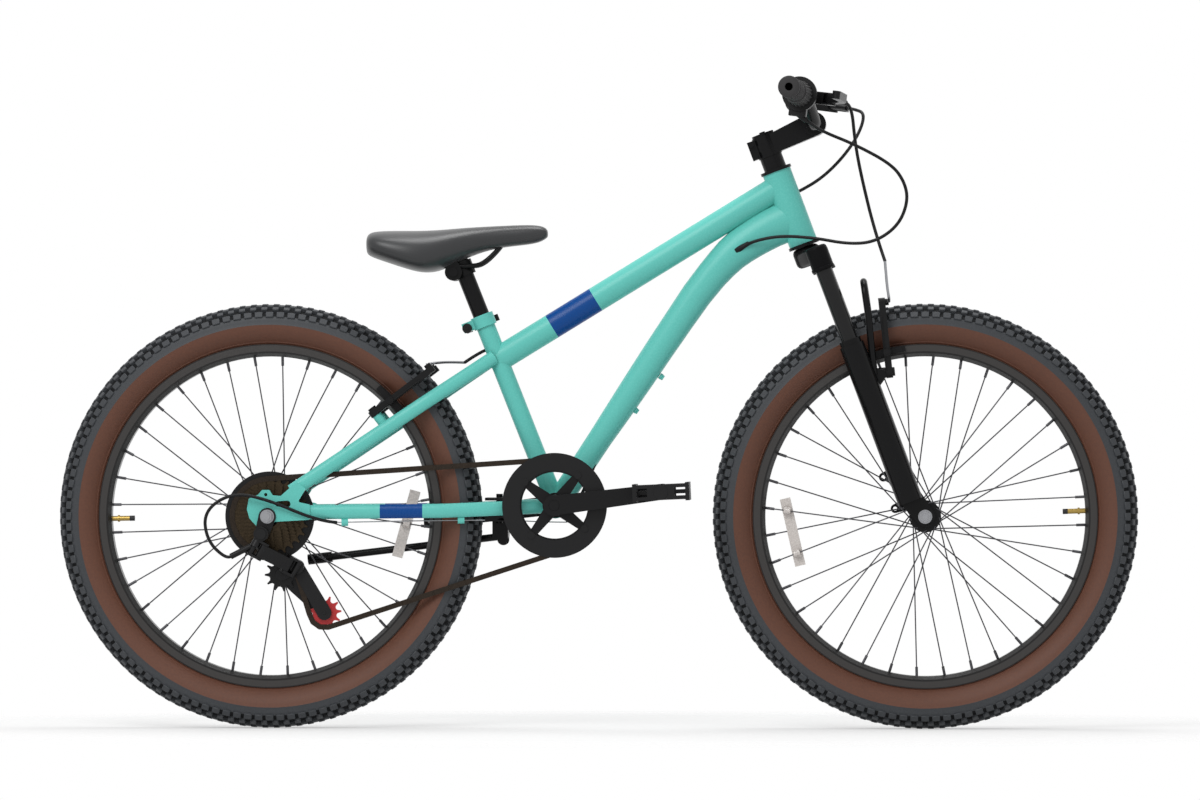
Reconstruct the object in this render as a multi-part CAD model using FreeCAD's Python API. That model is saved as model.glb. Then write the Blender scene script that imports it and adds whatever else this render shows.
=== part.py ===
import FreeCAD, Part
import math
import os

# A fat-tyred bicycle: +X forward, +Y to the rider's left, +Z up, the ground at zero, the origin midway between axles.
os.makedirs("parts", exist_ok=True)
V = FreeCAD.Vector
ACROSS = V(0, 1, 0)

# Fits
gap = 0.3
running = 0.05

# Wheels
wheelbase = 990.0
bead_radius = 253.5
tyre_height = 67.5
tyre_width = 72.0
tyre_wall = 4.0
rim_width = 40.0
rim_wall = 2.2
rim_lip = 6.5
rim_depth = 12.1
rim_bed = 3.0
spoke_count = 36
spoke_crossings = 3
spoke_radius = 1.0
nipple_radius = 2.1
nipple_length = 12.0
valve_radius = 4.0
valve_reach = 34.0
front_valve_angle = 2.0
rear_valve_angle = 181.0
reflector_length = 104.0
reflector_width = 16.0
front_reflector_spot = (-200.0, -24.0, -13.0)
rear_reflector_spot = (205.0, -12.0, 15.5)

# Hubs and axles
axle_radius = 5.0
front_hub_width = 100.0
rear_hub_width = 135.0
front_flange = 34.0
rear_left_flange = 33.0
rear_right_flange = 20.0
flange_thick = 3.2
spoke_circle = 20.5
hub_shell = 14.0
hub_bore = 11.0
freewheel_thread = 17.0
dropout_thick = 5.0
nut_across = 15.0
nut_height = 8.0

# Drive
pitch = 12.7
roller_radius = 3.85
ring_teeth = 34
cog_teeth = (28, 24, 22, 20, 18, 16, 14)
cog_step = 5.0
pulley_teeth = 11
chain_line = 50.0
first_cog = 31.0
tooth_thick = 2.0
guard_margin = 10.2
ring_bolt_margin = 11.8
crank_length = 165.0
crank_angle = 7.3
crank_inner = 64.0
crank_thick = 13.0
spindle_radius = 8.0
pedal_axle = 4.5
pedal_length = 85.0
pedal_width = 88.0
pedal_thick = 27.0
pulley_reach = 27.3
pulley_reach_angle = -152.8
tension_reach = 81.0
tension_angle = -59.5

# Frame
stay_clearance = 111.3
bracket_rise = 16.8
shell_radius = 20.0
shell_width = 73.0
cartridge_radius = 17.0
seat_angle = 68.4
seat_tube_length = 307.0
seat_tube_radius = 14.3
seatpost_radius = 12.7
head_angle = 69.5
fork_clearance = 129.0
fork_rake = 28.0
head_tube_length = 116.0
head_tube_radius = 22.0
tube_wall = 2.0
top_tube_radius = 17.4
top_tube_drop = 68.0
head_tube_drop = 20.0
down_tube_small = 18.4
down_tube_large = 21.0
down_tube_height = 34.5
down_tube_setback = 7.0
stay_height = 21.5
stay_width = 14.0
seatstay_height = 21.0
seatstay_drop = 64.0
stay_wall = 1.6
eyelet_bore = 2.5
bottle_spacing = 64.0

# Fork, stem and bar
steerer_radius = 14.3
leg_clearance = 26.0
leg_offset = 15.0
stanchion_radius = 12.7
leg_radius = 19.0
crown_drop = 49.0
crown_hub_drop = 30.0
leg_top = 169.0
leg_bottom = 421.0
stack_height = 25.0
stem_height = 33.0
stem_reach = 78.5
stem_rise = 163.3
bar_radius = 11.1
bar_clamp = 12.7
bar_half_width = 300.0
bar_rise = 45.0
bar_sweep = 33.0
grip_radius = 15.5
disc_bore = 3.05
disc_spacing = 51.0

# Brakes
boss_clearance = 10.0
stud_radius = 4.0
arm_length = 106.0
arm_thick = 10.0
pad_height = 29.5
pad_clearance = 2.3
front_brake_tilt = 6.0
rear_arm_lean = 3.49
boss_drop = 29.0
front_brake_angle = 104.0
boss_height = 30.01
cable_radius = 2.5
wire_radius = 0.9

# Seat
post_length = 300.0
post_show = 96.0
rail_spread = 22.0
rail_radius = 3.5
saddle_length = 274.0
saddle_width = 146.0

# Kickstand
kickstand_length = 298.0
kickstand_radius = 5.5

tyre_radius = bead_radius + tyre_height
rim_edge = bead_radius + rim_lip
bed_radius = bead_radius - rim_depth
bracket_forward = tyre_radius + stay_clearance
fork_length = tyre_radius + fork_clearance
leg_spacing = tyre_width / 2 + leg_clearance
boss_spread = tyre_width / 2 + boss_clearance
brake_radius = bead_radius - boss_drop
top_tube_low = seat_tube_length - top_tube_drop
top_tube_high = head_tube_length - head_tube_drop
stay_spread = tyre_width / 2 + 18
rear_axle = V(-wheelbase / 2, 0, tyre_radius)
front_axle = V(wheelbase / 2, 0, tyre_radius)
bracket = rear_axle + V(bracket_forward, 0, bracket_rise)


def pitch_radius(teeth):
    return pitch / 2 / math.sin(math.pi / teeth)


ring_bolts = pitch_radius(ring_teeth) - ring_bolt_margin


def unit(v):
    return V(v).normalize()


def frame_at(origin, along_x, along_z):
    """A placement whose local X and Z lie along the two directions given."""
    x = unit(along_x)
    z = unit(along_z)
    y = z.cross(x)
    m = FreeCAD.Matrix(x.x, y.x, z.x, origin.x, x.y, y.y, z.y, origin.y, x.z, y.z, z.z, origin.z, 0, 0, 0, 1)
    return FreeCAD.Placement(m)


def placed(shape, placement):
    copy = shape.copy()
    copy.Placement = placement.multiply(copy.Placement)
    return copy


def tilted(origin, degrees):
    """A placement at origin whose local Z leans back by degrees from upright."""
    return FreeCAD.Placement(origin, FreeCAD.Rotation(ACROSS, -degrees))


head_tilt = tilted(V(0, 0, 0), 90 - head_angle)
head_low = front_axle - head_tilt.multVec(V(fork_rake, 0, 0)) + head_tilt.multVec(V(0, 0, fork_length))
steer = tilted(head_low, 90 - head_angle)
seat = tilted(bracket, 90 - seat_angle)


def rod(a, b, radius):
    return Part.makeCylinder(radius, (b - a).Length, a, b - a)


def sleeve(a, b, outer, inner):
    along = unit(b - a)
    return rod(a, b, outer).cut(rod(a - along, b + along, inner))


def flat(x, z):
    """A point of the side view."""
    return V(x, 0, z)


def cross_rod(at, y0, y1, radius):
    return rod(V(at.x, y0, at.z), V(at.x, y1, at.z), radius)


def cross_sleeve(at, y0, y1, outer, inner):
    return sleeve(V(at.x, y0, at.z), V(at.x, y1, at.z), outer, inner)


def outline(points, arcs, lay):
    """A closed wire through points, with an arc through arcs[i] after point i."""
    edges = []
    for i, start in enumerate(points):
        end = points[(i + 1) % len(points)]
        if i in arcs:
            edges.append(Part.Arc(lay(start), lay(arcs[i]), lay(end)).toShape())
        else:
            edges.append(Part.makeLine(lay(start), lay(end)))
    return Part.Wire(edges)


def turned(points, centre, arcs=None):
    """A ring turned about the across direction, from (radius, across) points."""
    wire = outline(points, arcs or {}, lambda p: V(p[0], p[1], 0))
    ring = Part.Face(wire).revolve(V(0, 0, 0), ACROSS, 360)
    ring.translate(centre)
    return ring


def side_plate(points, y0, y1, arcs=None):
    """A plate of a side-view outline between two across positions."""
    wire = outline(points, arcs or {}, lambda p: V(p[0], y0, p[1]))
    return Part.Face(wire).extrude(V(0, y1 - y0, 0))


def bar_outline(a, ra, b, rb):
    """The outline of a bar with round ends about two (u, v) points."""
    du = b[0] - a[0]
    dv = b[1] - a[1]
    heading = math.atan2(dv, du)
    lean = math.acos((ra - rb) / math.hypot(du, dv))

    def at(c, r, angle):
        return (c[0] + r * math.cos(angle), c[1] + r * math.sin(angle))

    points = [at(a, ra, heading + lean), at(b, rb, heading + lean)]
    points += [at(b, rb, heading - lean), at(a, ra, heading - lean)]
    arcs = {1: at(b, rb, heading), 3: at(a, ra, heading + math.pi)}
    return points, arcs


def side_bar(a, ra, b, rb, y0, y1):
    points, arcs = bar_outline((a.x, a.z), ra, (b.x, b.z), rb)
    return side_plate(points, y0, y1, arcs)


def plan_bar(a, ra, b, rb, z0, z1):
    """A round-ended bar seen from above, between two heights."""
    points, arcs = bar_outline(a, ra, b, rb)
    wire = outline(points, arcs, lambda p: V(p[0], p[1], z0))
    return Part.Face(wire).extrude(V(0, 0, z1 - z0))


def front_bar(a, ra, b, rb, x0, x1):
    """A round-ended bar seen along X, between two X positions."""
    points, arcs = bar_outline(a, ra, b, rb)
    wire = outline(points, arcs, lambda p: V(x0, p[0], p[1]))
    return Part.Face(wire).extrude(V(x1 - x0, 0, 0))


def block(x0, x1, y0, y1, z0, z1):
    return Part.makeBox(x1 - x0, y1 - y0, z1 - z0, V(x0, y0, z0))


def path_of(points, bend, most=0.45):
    """Straight runs through points, joined by tangent arcs of radius bend or what room there is."""
    edges = []
    start = points[0]
    for before, corner, after in zip(points, points[1:], points[2:]):
        into = corner - before
        out = after - corner
        half = into.getAngle(out) / 2
        reach = min(bend * math.tan(half), most * into.Length, most * out.Length)
        enter = corner - unit(into) * reach
        leave = corner + unit(out) * reach
        inward = unit(unit(out) - unit(into))
        radius = reach / math.tan(half)
        middle = corner + inward * (radius / math.cos(half) - radius)
        edges.append(Part.makeLine(start, enter))
        edges.append(Part.Arc(enter, middle, leave).toShape())
        start = leave
    edges.append(Part.makeLine(start, points[-1]))
    return Part.Wire(edges)


def pipe(points, radius, bend=40.0):
    ring = Part.Wire(Part.makeCircle(radius, points[0], points[1] - points[0]))
    return path_of(points, bend).makePipeShell([ring], True, False)


def oval_pipe(points, tall, wide, bend):
    """A pipe of oval section, its tall axis kept near upright."""
    along = unit(points[1] - points[0])
    level = unit(ACROSS - along * ACROSS.dot(along))
    upright = along.cross(level)
    oval = Part.Ellipse(points[0] + upright * tall / 2, points[0] + level * wide / 2, points[0])
    return path_of(points, bend).makePipeShell([Part.Wire(oval.toShape())], True, False)


def hollow_stay(points, tall, wide, bend):
    outer = oval_pipe(points, tall, wide, bend)
    return outer.cut(oval_pipe(points, tall - 2 * stay_wall, wide - 2 * stay_wall, bend))


def mirrored(shape):
    return shape.mirror(V(0, 0, 0), ACROSS)


def hexagon(centre, y0, y1, bore):
    points = []
    for i in range(6):
        turn = math.radians(60 * i + 30)
        corner = nut_across / math.sqrt(3)
        points.append((centre.x + corner * math.cos(turn), centre.z + corner * math.sin(turn)))
    return side_plate(points, y0, y1).cut(cross_rod(centre, y0 - 1, y1 + 1, bore))


def on_circle(centre, radius, degrees, y=0.0):
    turn = math.radians(degrees)
    return centre + V(radius * math.cos(turn), y, radius * math.sin(turn))


# Wheels


def tyre(centre):
    half = tyre_width / 2
    bead_out = rim_width / 2 - rim_wall - gap
    bead_in = bead_out - 6
    seat_r = bead_radius + gap
    leave = rim_edge + 1
    wide = bead_radius + 0.51 * tyre_height
    shoulder = tyre_radius - 0.18 * tyre_height
    edge = half - 3
    inside = half - tyre_wall
    points = [(seat_r, bead_in), (seat_r, bead_out), (leave, bead_out), (wide, half), (shoulder, edge)]
    points += [(r, -y) for r, y in reversed(points)]
    points += [(leave, tyre_wall - bead_out), (wide, -inside), (shoulder - 3, 4 - edge)]
    points += [(shoulder - 3, edge - 4), (wide, inside), (leave, bead_out - tyre_wall)]
    arcs = {2: (leave + 10, 0.8 * half), 3: ((wide + shoulder) / 2, half - 0.5), 4: (tyre_radius, 0)}
    arcs[5] = ((wide + shoulder) / 2, 0.5 - half)
    arcs[6] = (leave + 10, -0.8 * half)
    arcs[10] = (leave + 11, tyre_wall - 0.8 * half)
    arcs[12] = (tyre_radius - 1.7 * tyre_wall, 0)
    arcs[14] = (leave + 11, 0.8 * half - tyre_wall)
    return turned(points, centre, arcs)


def inner_tube(centre, valve_angle):
    outer = (tyre_height - 1.7 * tyre_wall - rim_lip - 1.5) / 2
    middle = tyre_radius - 1.7 * tyre_wall - gap - outer
    ring = Part.makeTorus(middle, outer, centre, ACROSS)
    hollow = Part.makeTorus(middle, outer - 1.4, centre, ACROSS)
    stem = rod(on_circle(centre, middle - outer + 0.6, valve_angle),
               on_circle(centre, bed_radius - valve_reach, valve_angle), valve_radius)
    return ring.cut(hollow).fuse(stem)


def rim(centre, valve_angle):
    half = rim_width / 2
    inner = half - rim_wall
    points = [(bed_radius, 11), (bed_radius + 5, half), (rim_edge, half), (rim_edge, inner)]
    points += [(bead_radius, inner), (bead_radius, 11), (bed_radius + rim_bed, 8.5)]
    points += [(r, -y) for r, y in reversed(points)]
    ring = turned(points, centre)
    hole = rod(on_circle(centre, bed_radius - 5, valve_angle),
               on_circle(centre, bead_radius, valve_angle), valve_radius + gap)
    return ring.cut(hole)


def spoke_line(centre, k, left, right, valve_angle):
    """Both ends of spoke k, with the valve midway between two: odd ones lie on the right flange."""
    side = 1 if k % 2 == 0 else -1
    sense = 1 if (k // 2) % 2 == 0 else -1
    angle = valve_angle + 360.0 * (k + 0.5) / spoke_count
    hub_angle = angle + sense * spoke_crossings * 720.0 / spoke_count
    flange = left if side > 0 else right
    start = on_circle(centre, spoke_circle, hub_angle, side * (flange + sense * 1.8))
    end = on_circle(centre, bed_radius + 0.5 * rim_bed, angle, side * 3.0)
    return start, end


def spokes(centre, left, right, valve_angle):
    made = []
    for k in range(spoke_count):
        start, end = spoke_line(centre, k, left, right, valve_angle)
        along = unit(end - start)
        nipple = rod(end - along * (nipple_length + rim_bed), end, nipple_radius)
        made.append(rod(start, end, spoke_radius).fuse(nipple))
    return Part.Compound(made)


def reflector(centre, forward, up, lean, left, right, valve_angle):
    """A straight strip between the two spoke planes, clipped round the spokes that cross it."""
    half = reflector_length / 2
    spot = centre + V(forward, 0, up)
    way = V(math.sin(math.radians(lean)), 0, math.cos(math.radians(lean)))
    body = block(-reflector_width / 2, reflector_width / 2, -4, 4, -half, half)
    body = placed(body, frame_at(spot, ACROSS.cross(way), way))
    lines = [spoke_line(centre, k, left, right, valve_angle) for k in range(spoke_count)]
    for start, end in lines:
        points = [start + (end - start) * (share / 100) for share in range(60, 92)]
        off = [abs(ACROSS.cross(way).dot(at - spot)) for at in points]
        at = points[off.index(min(off))]
        if min(off) < 2 and abs(way.dot(at - spot)) < half - 8:
            along = unit(end - start)
            body = body.fuse(rod(at - along * 5, at + along * 5, 6.0))
    return body.cut([rod(start, end, spoke_radius + gap) for start, end in lines])


def hub(centre, left, right, left_end, right_end, thread_end):
    """A hub shell with two flanges, its two bearings, and a threaded boss when thread_end is given."""
    fl = flange_thick / 2
    lip = spoke_circle + 3.5
    cup = hub_shell + 2.5
    points = [(hub_bore, left_end), (cup, left_end), (cup, left + fl), (lip, left + fl), (lip, left - fl)]
    points += [(hub_shell, left - fl - 6), (hub_shell, 6 - right + fl), (lip, fl - right), (lip, -right - fl)]
    if thread_end:
        points += [(freewheel_thread, -right - fl), (freewheel_thread, -right_end), (hub_bore, -right_end)]
    else:
        points += [(cup, -right - fl), (cup, -right_end), (hub_bore, -right_end)]
    shell = turned(points, centre)
    made = [shell]
    for y0, y1 in ((left_end - 9, left_end), (-right_end, 9 - right_end)):
        made.append(cross_sleeve(centre, y0, y1, hub_bore - 0.02, axle_radius + running))
    return Part.Compound(made)


def axle_set(centre, hub_ends, width, outer_faces):
    """An axle with locknuts inside the dropouts, and a washer and a nut outside each."""
    reach = max(abs(face) for face in outer_faces) + 2 + nut_height + 3
    made = [cross_rod(centre, -reach, reach, axle_radius)]
    for side, hub_end, face in ((1, hub_ends[0], outer_faces[0]), (-1, hub_ends[1], outer_faces[1])):
        bore = axle_radius + running
        inner = sorted((side * (hub_end + gap), side * (width / 2 - gap)))
        made.append(cross_sleeve(centre, inner[0], inner[1], 8.0, bore))
        washer = sorted((side * (face + gap), side * (face + 2)))
        made.append(cross_sleeve(centre, washer[0], washer[1], 10.5, bore))
        nut = sorted((side * (face + 2), side * (face + 2 + nut_height)))
        made.append(hexagon(centre, nut[0], nut[1], bore))
    return Part.Compound(made)


# Drive


def sprocket(teeth, centre, y, bore, gap_angle):
    """A toothed plate at y with one tooth gap at gap_angle."""
    r = pitch_radius(teeth)
    points = []
    for i in range(teeth):
        middle = math.radians(gap_angle) + 2 * math.pi * i / teeth
        for swing in (-75, -37.5, 0, 37.5, 75):
            turn = middle + math.pi + math.radians(-swing)
            u = r * math.cos(middle) + (roller_radius + 0.5) * math.cos(turn)
            v = r * math.sin(middle) + (roller_radius + 0.5) * math.sin(turn)
            points.append((centre.x + u, centre.z + v))
        for lean in (-1.2, 1.2):
            turn = middle + math.pi / teeth + lean / (r + 3)
            points.append((centre.x + (r + 3) * math.cos(turn), centre.z + (r + 3) * math.sin(turn)))
    plate = side_plate(points, y - tooth_thick / 2, y + tooth_thick / 2)
    return plate.cut(cross_rod(centre, y - tooth_thick, y + tooth_thick, bore))


# The cage pivot stands below and ahead of the rear axle, and the cage angle follows from the chain's length.
cage_pivot = rear_axle + V(42.6, 0, -76.0)


def chain_circles(swing):
    """The four chain wheels as (centre, radius, sense), with the cage swung by degrees."""
    guide = on_circle(cage_pivot, pulley_reach, pulley_reach_angle + swing)
    tension = on_circle(cage_pivot, tension_reach, tension_angle + swing)
    return [
        (rear_axle, pitch_radius(cog_teeth[0]), 1),
        (bracket, pitch_radius(ring_teeth), 1),
        (tension, pitch_radius(pulley_teeth), 1),
        (guide, pitch_radius(pulley_teeth), -1),
    ]


def chain_runs(swing):
    """The closed chain line as runs and arcs: (length, point at a length, across start and end, wheel or None)."""
    wheels = chain_circles(swing)
    leave = []
    arrive = []
    for i, (c, r, s) in enumerate(wheels):
        d, q, t = wheels[(i + 1) % 4]
        span = d - c
        heading = math.atan2(span.z, span.x) - math.asin((r * s - q * t) / span.Length)
        side = V(-math.sin(heading), 0, math.cos(heading))
        leave.append(c + side * (r * s))
        arrive.append(d + side * (q * t))
    across = (-first_cog, -chain_line, -first_cog, -first_cog)
    pieces = []
    for i, (c, r, s) in enumerate(wheels):
        a = arrive[i - 1] - c
        b = leave[i] - c
        first = math.atan2(a.z, a.x)
        sweep = (s * (first - math.atan2(b.z, b.x))) % (2 * math.pi)
        pieces.append(("arc", r * sweep, c, r, s, first, across[i], across[i]))
        straight = arrive[i] - leave[i]
        pieces.append(("run", straight.Length, leave[i], unit(straight), 0, 0, across[i], across[(i + 1) % 4]))
    return pieces


def chain_point(pieces, length):
    """The point of the chain line at a length, and the number of the piece it is on."""
    total = sum(p[1] for p in pieces)
    rest = length % total
    for n, p in enumerate(pieces):
        if rest <= p[1] or n == len(pieces) - 1:
            break
        rest -= p[1]
    square = 1.3 * pitch
    share = min(1.0, max(0.0, (rest - square) / max(1.0, p[1] - 2 * square)))
    y = p[6] + (p[7] - p[6]) * share
    if p[0] == "arc":
        turn = p[5] - p[4] * rest / p[3]
        return p[2] + V(p[3] * math.cos(turn), y, p[3] * math.sin(turn)), n
    return p[2] + p[3] * rest + V(0, y, 0), n


def chain_rollers(swing, links):
    """Roller points one pitch apart, and how far the last falls short of the first."""
    pieces = chain_runs(swing)
    length = pieces[0][1]
    found = []
    for i in range(links):
        at, piece = chain_point(pieces, length)
        found.append((at, piece))
        step = pitch
        for again in range(5):
            ahead = chain_point(pieces, length + step)[0]
            step += pitch - (ahead - at).Length
        length += step
    return found, length - pieces[0][1] - sum(p[1] for p in pieces)


def closed_chain():
    """An even number of links, and the cage swing that closes the chain exactly."""
    total = sum(p[1] for p in chain_runs(0))
    links = 2 * round(total / pitch / 2)
    low = -30.0
    high = 30.0
    for again in range(50):
        swing = (low + high) / 2
        over = chain_rollers(swing, links)[1]
        longer = sum(p[1] for p in chain_runs(swing + 0.5)) > sum(p[1] for p in chain_runs(swing - 0.5))
        if (over > 0) == longer:
            low = swing
        else:
            high = swing
    return swing, chain_rollers(swing, links)[0]


cage_swing, rollers = closed_chain()
guide_centre = chain_circles(cage_swing)[3][0]
tension_centre = chain_circles(cage_swing)[2][0]


def gap_angle_on(wheel):
    """The angle of a roller seated on chain wheel number wheel."""
    centre = chain_circles(cage_swing)[wheel][0]
    seated = [at for at, piece in rollers if piece == 2 * wheel]
    at = seated[len(seated) // 2]
    return math.degrees(math.atan2(at.z - centre.z, at.x - centre.x))


def chain():
    ends = (V(0, 0, 0), V(pitch, 0, 0))
    bores = [cross_rod(at, -4, 4, 2.0) for at in ends]
    inner = [side_bar(ends[0], 4.0, ends[1], 4.0, y, y + 0.9) for y in (-2.2, 1.3)]
    inner += [cross_rod(at, -1.35, 1.35, roller_radius) for at in ends]
    inner_link = inner[0].fuse(inner[1:]).cut(bores)
    outer = [side_bar(ends[0], 4.0, ends[1], 4.0, y, y + 0.9) for y in (-3.3, 2.4)]
    outer += [cross_rod(at, -3.6, 3.6, 1.8) for at in ends]
    outer_link = outer[0].fuse(outer[1:])
    made = []
    for i, (at, piece) in enumerate(rollers):
        ahead = rollers[(i + 1) % len(rollers)][0]
        along = ahead - at
        upright = unit(along).cross(ACROSS)
        spot = frame_at(at, along, upright)
        made.append(placed(inner_link if i % 2 == 0 else outer_link, spot))
    return Part.Compound(made)


def freewheel():
    body = cross_sleeve(rear_axle, -first_cog - 6 * cog_step - 3, 3.5 - first_cog, 20.5, freewheel_thread + running)
    made = [body]
    for i, teeth in enumerate(cog_teeth):
        angle = gap_angle_on(0) if i == 0 else 90.0
        made.append(sprocket(teeth, rear_axle, -first_cog - i * cog_step, 20.7, angle))
    return Part.Compound(made)


def chainring():
    plate = sprocket(ring_teeth, bracket, -chain_line, ring_bolts - 7, gap_angle_on(1))
    holes = [cross_rod(on_circle(bracket, ring_bolts, 45 + 90 * i + crank_angle), -60, -40, 3.3) for i in range(4)]
    return plate.cut(holes)


def chain_guard():
    y0 = -chain_line - 8.6
    ring = cross_sleeve(bracket, y0, y0 + 3, pitch_radius(ring_teeth) + guard_margin, ring_bolts - 4.5)
    made = ring
    for i in range(4):
        at = on_circle(bracket, ring_bolts, 45 + 90 * i + crank_angle)
        pin = cross_rod(at, y0 - 1.5, -chain_line + 1.0, 3.0)
        made = made.fuse(pin)
        made = made.fuse(cross_rod(at, y0 - 1.5, y0, 5.5))
    return made


def crank_arm(side):
    """One arm with its boss, seen with the pedal end forward for side -1 and back for side 1."""
    pedal = on_circle(bracket, crank_length, crank_angle if side < 0 else crank_angle + 180)
    faces = sorted((side * crank_inner, side * (crank_inner + crank_thick)))
    arm = side_bar(bracket, 15.0, pedal, 12.0, faces[0], faces[1])
    boss = sorted((side * (shell_width / 2 + 5), side * (crank_inner + crank_thick)))
    arm = arm.fuse(cross_rod(bracket, boss[0], boss[1], 16.0))
    if side < 0:
        for i in range(4):
            out = on_circle(bracket, ring_bolts, 45 + 90 * i + crank_angle)
            leg = side_bar(bracket, 11.0, out, 5.6, -chain_line - 5.3, -chain_line - 1.4)
            arm = arm.fuse(leg.cut(cross_rod(out, -70, -40, 3.3)))
    bore = cross_rod(bracket, boss[0] - 1, boss[1] + 1, spindle_radius)
    return arm.cut([bore, cross_rod(pedal, faces[0] - 1, faces[1] + 1, pedal_axle + 1)])


def crank_arms():
    made = [crank_arm(-1), crank_arm(1)]
    end = crank_inner + crank_thick - 4
    made.append(cross_rod(bracket, -end, end, spindle_radius - running))
    for side in (-1, 1):
        pedal = on_circle(bracket, crank_length, crank_angle if side < 0 else crank_angle + 180)
        outer = crank_inner + crank_thick
        thread = sorted((side * crank_inner, side * outer))
        axle = cross_rod(pedal, thread[0], thread[1], pedal_axle + 1 - running)
        long = sorted((side * outer, side * (outer + pedal_width - 8)))
        collar = sorted((side * outer, side * (outer + 4)))
        made.append(axle.fuse([cross_rod(pedal, long[0], long[1], pedal_axle),
                               cross_rod(pedal, collar[0], collar[1], 8.0)]))
        cap = sorted((side * (outer - 3.5), side * (outer + 1)))
        made.append(cross_rod(bracket, cap[0], cap[1], spindle_radius - 0.3))
    return Part.Compound(made)


def pedal(side):
    at = on_circle(bracket, crank_length, crank_angle if side < 0 else crank_angle + 180)
    near = crank_inner + crank_thick + 5
    far = near + pedal_width
    half = pedal_length / 2
    top = pedal_thick / 2
    body = rod(V(0, near, 0), V(0, far, 0), 10.5)
    for y0, y1 in ((near, near + 7), (far - 8, far - 1)):
        body = body.fuse(block(-half, half, y0, y1, -top + 2, top - 2))
        for x in (-half + 13, half - 13):
            body = body.cut(block(x - 9, x + 9, y0 - 1, y1 + 1, -top + 7, top - 7))
    for x in (-half, half - 6):
        body = body.fuse(block(x, x + 6, near, far - 1, -top, top))
    for y in (near + 28, near + 55):
        body = body.fuse(block(-half, half, y, y + 5, -3, 3))
    body = body.cut(rod(V(0, near - 1, 0), V(0, far - 5, 0), pedal_axle + running))
    body.rotate(V(0, 0, 0), ACROSS, -2.5)
    body = mirrored(body) if side < 0 else body
    body.translate(V(at.x, 0, at.z))
    return body


def pulley(centre, wheel):
    body = sprocket(pulley_teeth, centre, -first_cog, 2.5 + running, gap_angle_on(wheel))
    hub_wall = cross_sleeve(centre, -first_cog - 3.6, 3.6 - first_cog, 8.0, 2.5 + running)
    return body.fuse(hub_wall)


# Derailleur. The link frame lies along the links' travel, with its Z along the four link pins.
hanger_pivot = rear_axle + V(-8.0, 0, -26.0)
link_step = V(38.0, 32.0, -21.0)
cage_pin = V(cage_pivot.x - 12.0, -first_cog - 27.5, cage_pivot.z + 3.0)
hanger_pin = cage_pin - link_step
link_along = unit(V(link_step.x, 0, link_step.z))
link_axis = link_along.cross(ACROSS)
links = frame_at(hanger_pin, link_along, link_axis)
link_end = (math.hypot(link_step.x, link_step.z), link_step.y)
inner_shift = (-3.0, 13.0)
link_half = 10.0


def link_pins():
    """The pin positions in the link frame: outer and inner link at the hanger, then at the cage."""
    far = (link_end[0] + inner_shift[0], link_end[1] + inner_shift[1])
    return (0.0, 0.0), inner_shift, link_end, far


def derailleur_link(inner):
    near, near_inner, far, far_inner = link_pins()
    a = near_inner if inner else near
    b = far_inner if inner else far
    radius = 3.6 if inner else 5.0
    body = plan_bar(a, radius, b, radius, -link_half, link_half)
    if not inner:
        body = body.cut(plan_bar((a[0] + 11, a[1] + 6), 2.2, (b[0] - 11, b[1] - 6), 2.2, 4, 20))
    for at in (a, b):
        body = body.cut(rod(V(at[0], at[1], -20), V(at[0], at[1], 20), 2.0 + running))
    return placed(body, links)


def ears(a, b, web_a, web_b, radius):
    """Two plates above and below the links holding two pins, with a web behind."""
    shapes = []
    for z0, z1 in ((link_half + gap, link_half + 4), (-link_half - 4, -link_half - gap)):
        shapes.append(plan_bar(a, 6.0, b, 6.0, z0, z1))
        shapes.append(plan_bar(a, 6.0, web_a, radius, z0, z1))
        shapes.append(plan_bar(b, 6.0, web_b, radius, z0, z1))
    shapes.append(plan_bar(web_a, radius, web_b, radius, -link_half - 4, link_half + 4))
    for at in (a, b):
        shapes.append(rod(V(at[0], at[1], -link_half - 2), V(at[0], at[1], link_half + 2), 2.0))
    return shapes[0].fuse(shapes[1:])


def derailleur_mount():
    """The claw on the axle with its screw, and the knuckle holding the links and the cable barrel."""
    face = -rear_hub_width / 2 - dropout_thick
    claw = side_bar(rear_axle, 13.0, hanger_pivot, 11.0, face - 3, face - gap)
    claw = claw.cut(cross_rod(rear_axle, face - 5, face + 5, axle_radius + 0.1))
    claw = claw.cut(cross_rod(hanger_pivot, face - 5, face + 5, 4.0 + running))
    near, near_inner, far, far_inner = link_pins()
    hold = placed(ears(near, near_inner, (-13.0, -1.0), (-14.0, 10.0), 4.0), links)
    knuckle = cross_rod(hanger_pivot, face - 24, face - 3 - gap, 11.0)
    elbow = links.multVec(V(-13, -1, 0))
    neck = rod(V(hanger_pivot.x, face - 14, hanger_pivot.z), V(elbow.x, elbow.y, elbow.z), 7.0)
    barrel_from = links.multVec(V(-14, 3, 4))
    barrel_to = V(rear_axle.x - 54, barrel_from.y, rear_axle.z - 60)
    barrel = rod(barrel_from, barrel_to, 4.5)
    body = hold.fuse([knuckle, neck, barrel])
    bolt = cross_rod(hanger_pivot, face - 28, face - 24, 8.0)
    pin = cross_rod(hanger_pivot, face - 24, face - 1, 4.0)
    return Part.Compound([claw, body.cut(pin), bolt.fuse(pin)])


def barrel_mouth():
    """The outer end of the cable barrel and the direction out of it."""
    start = links.multVec(V(-14, 3, 4))
    end = V(rear_axle.x - 54, start.y, rear_axle.z - 60)
    return end, unit(end - start)


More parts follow.
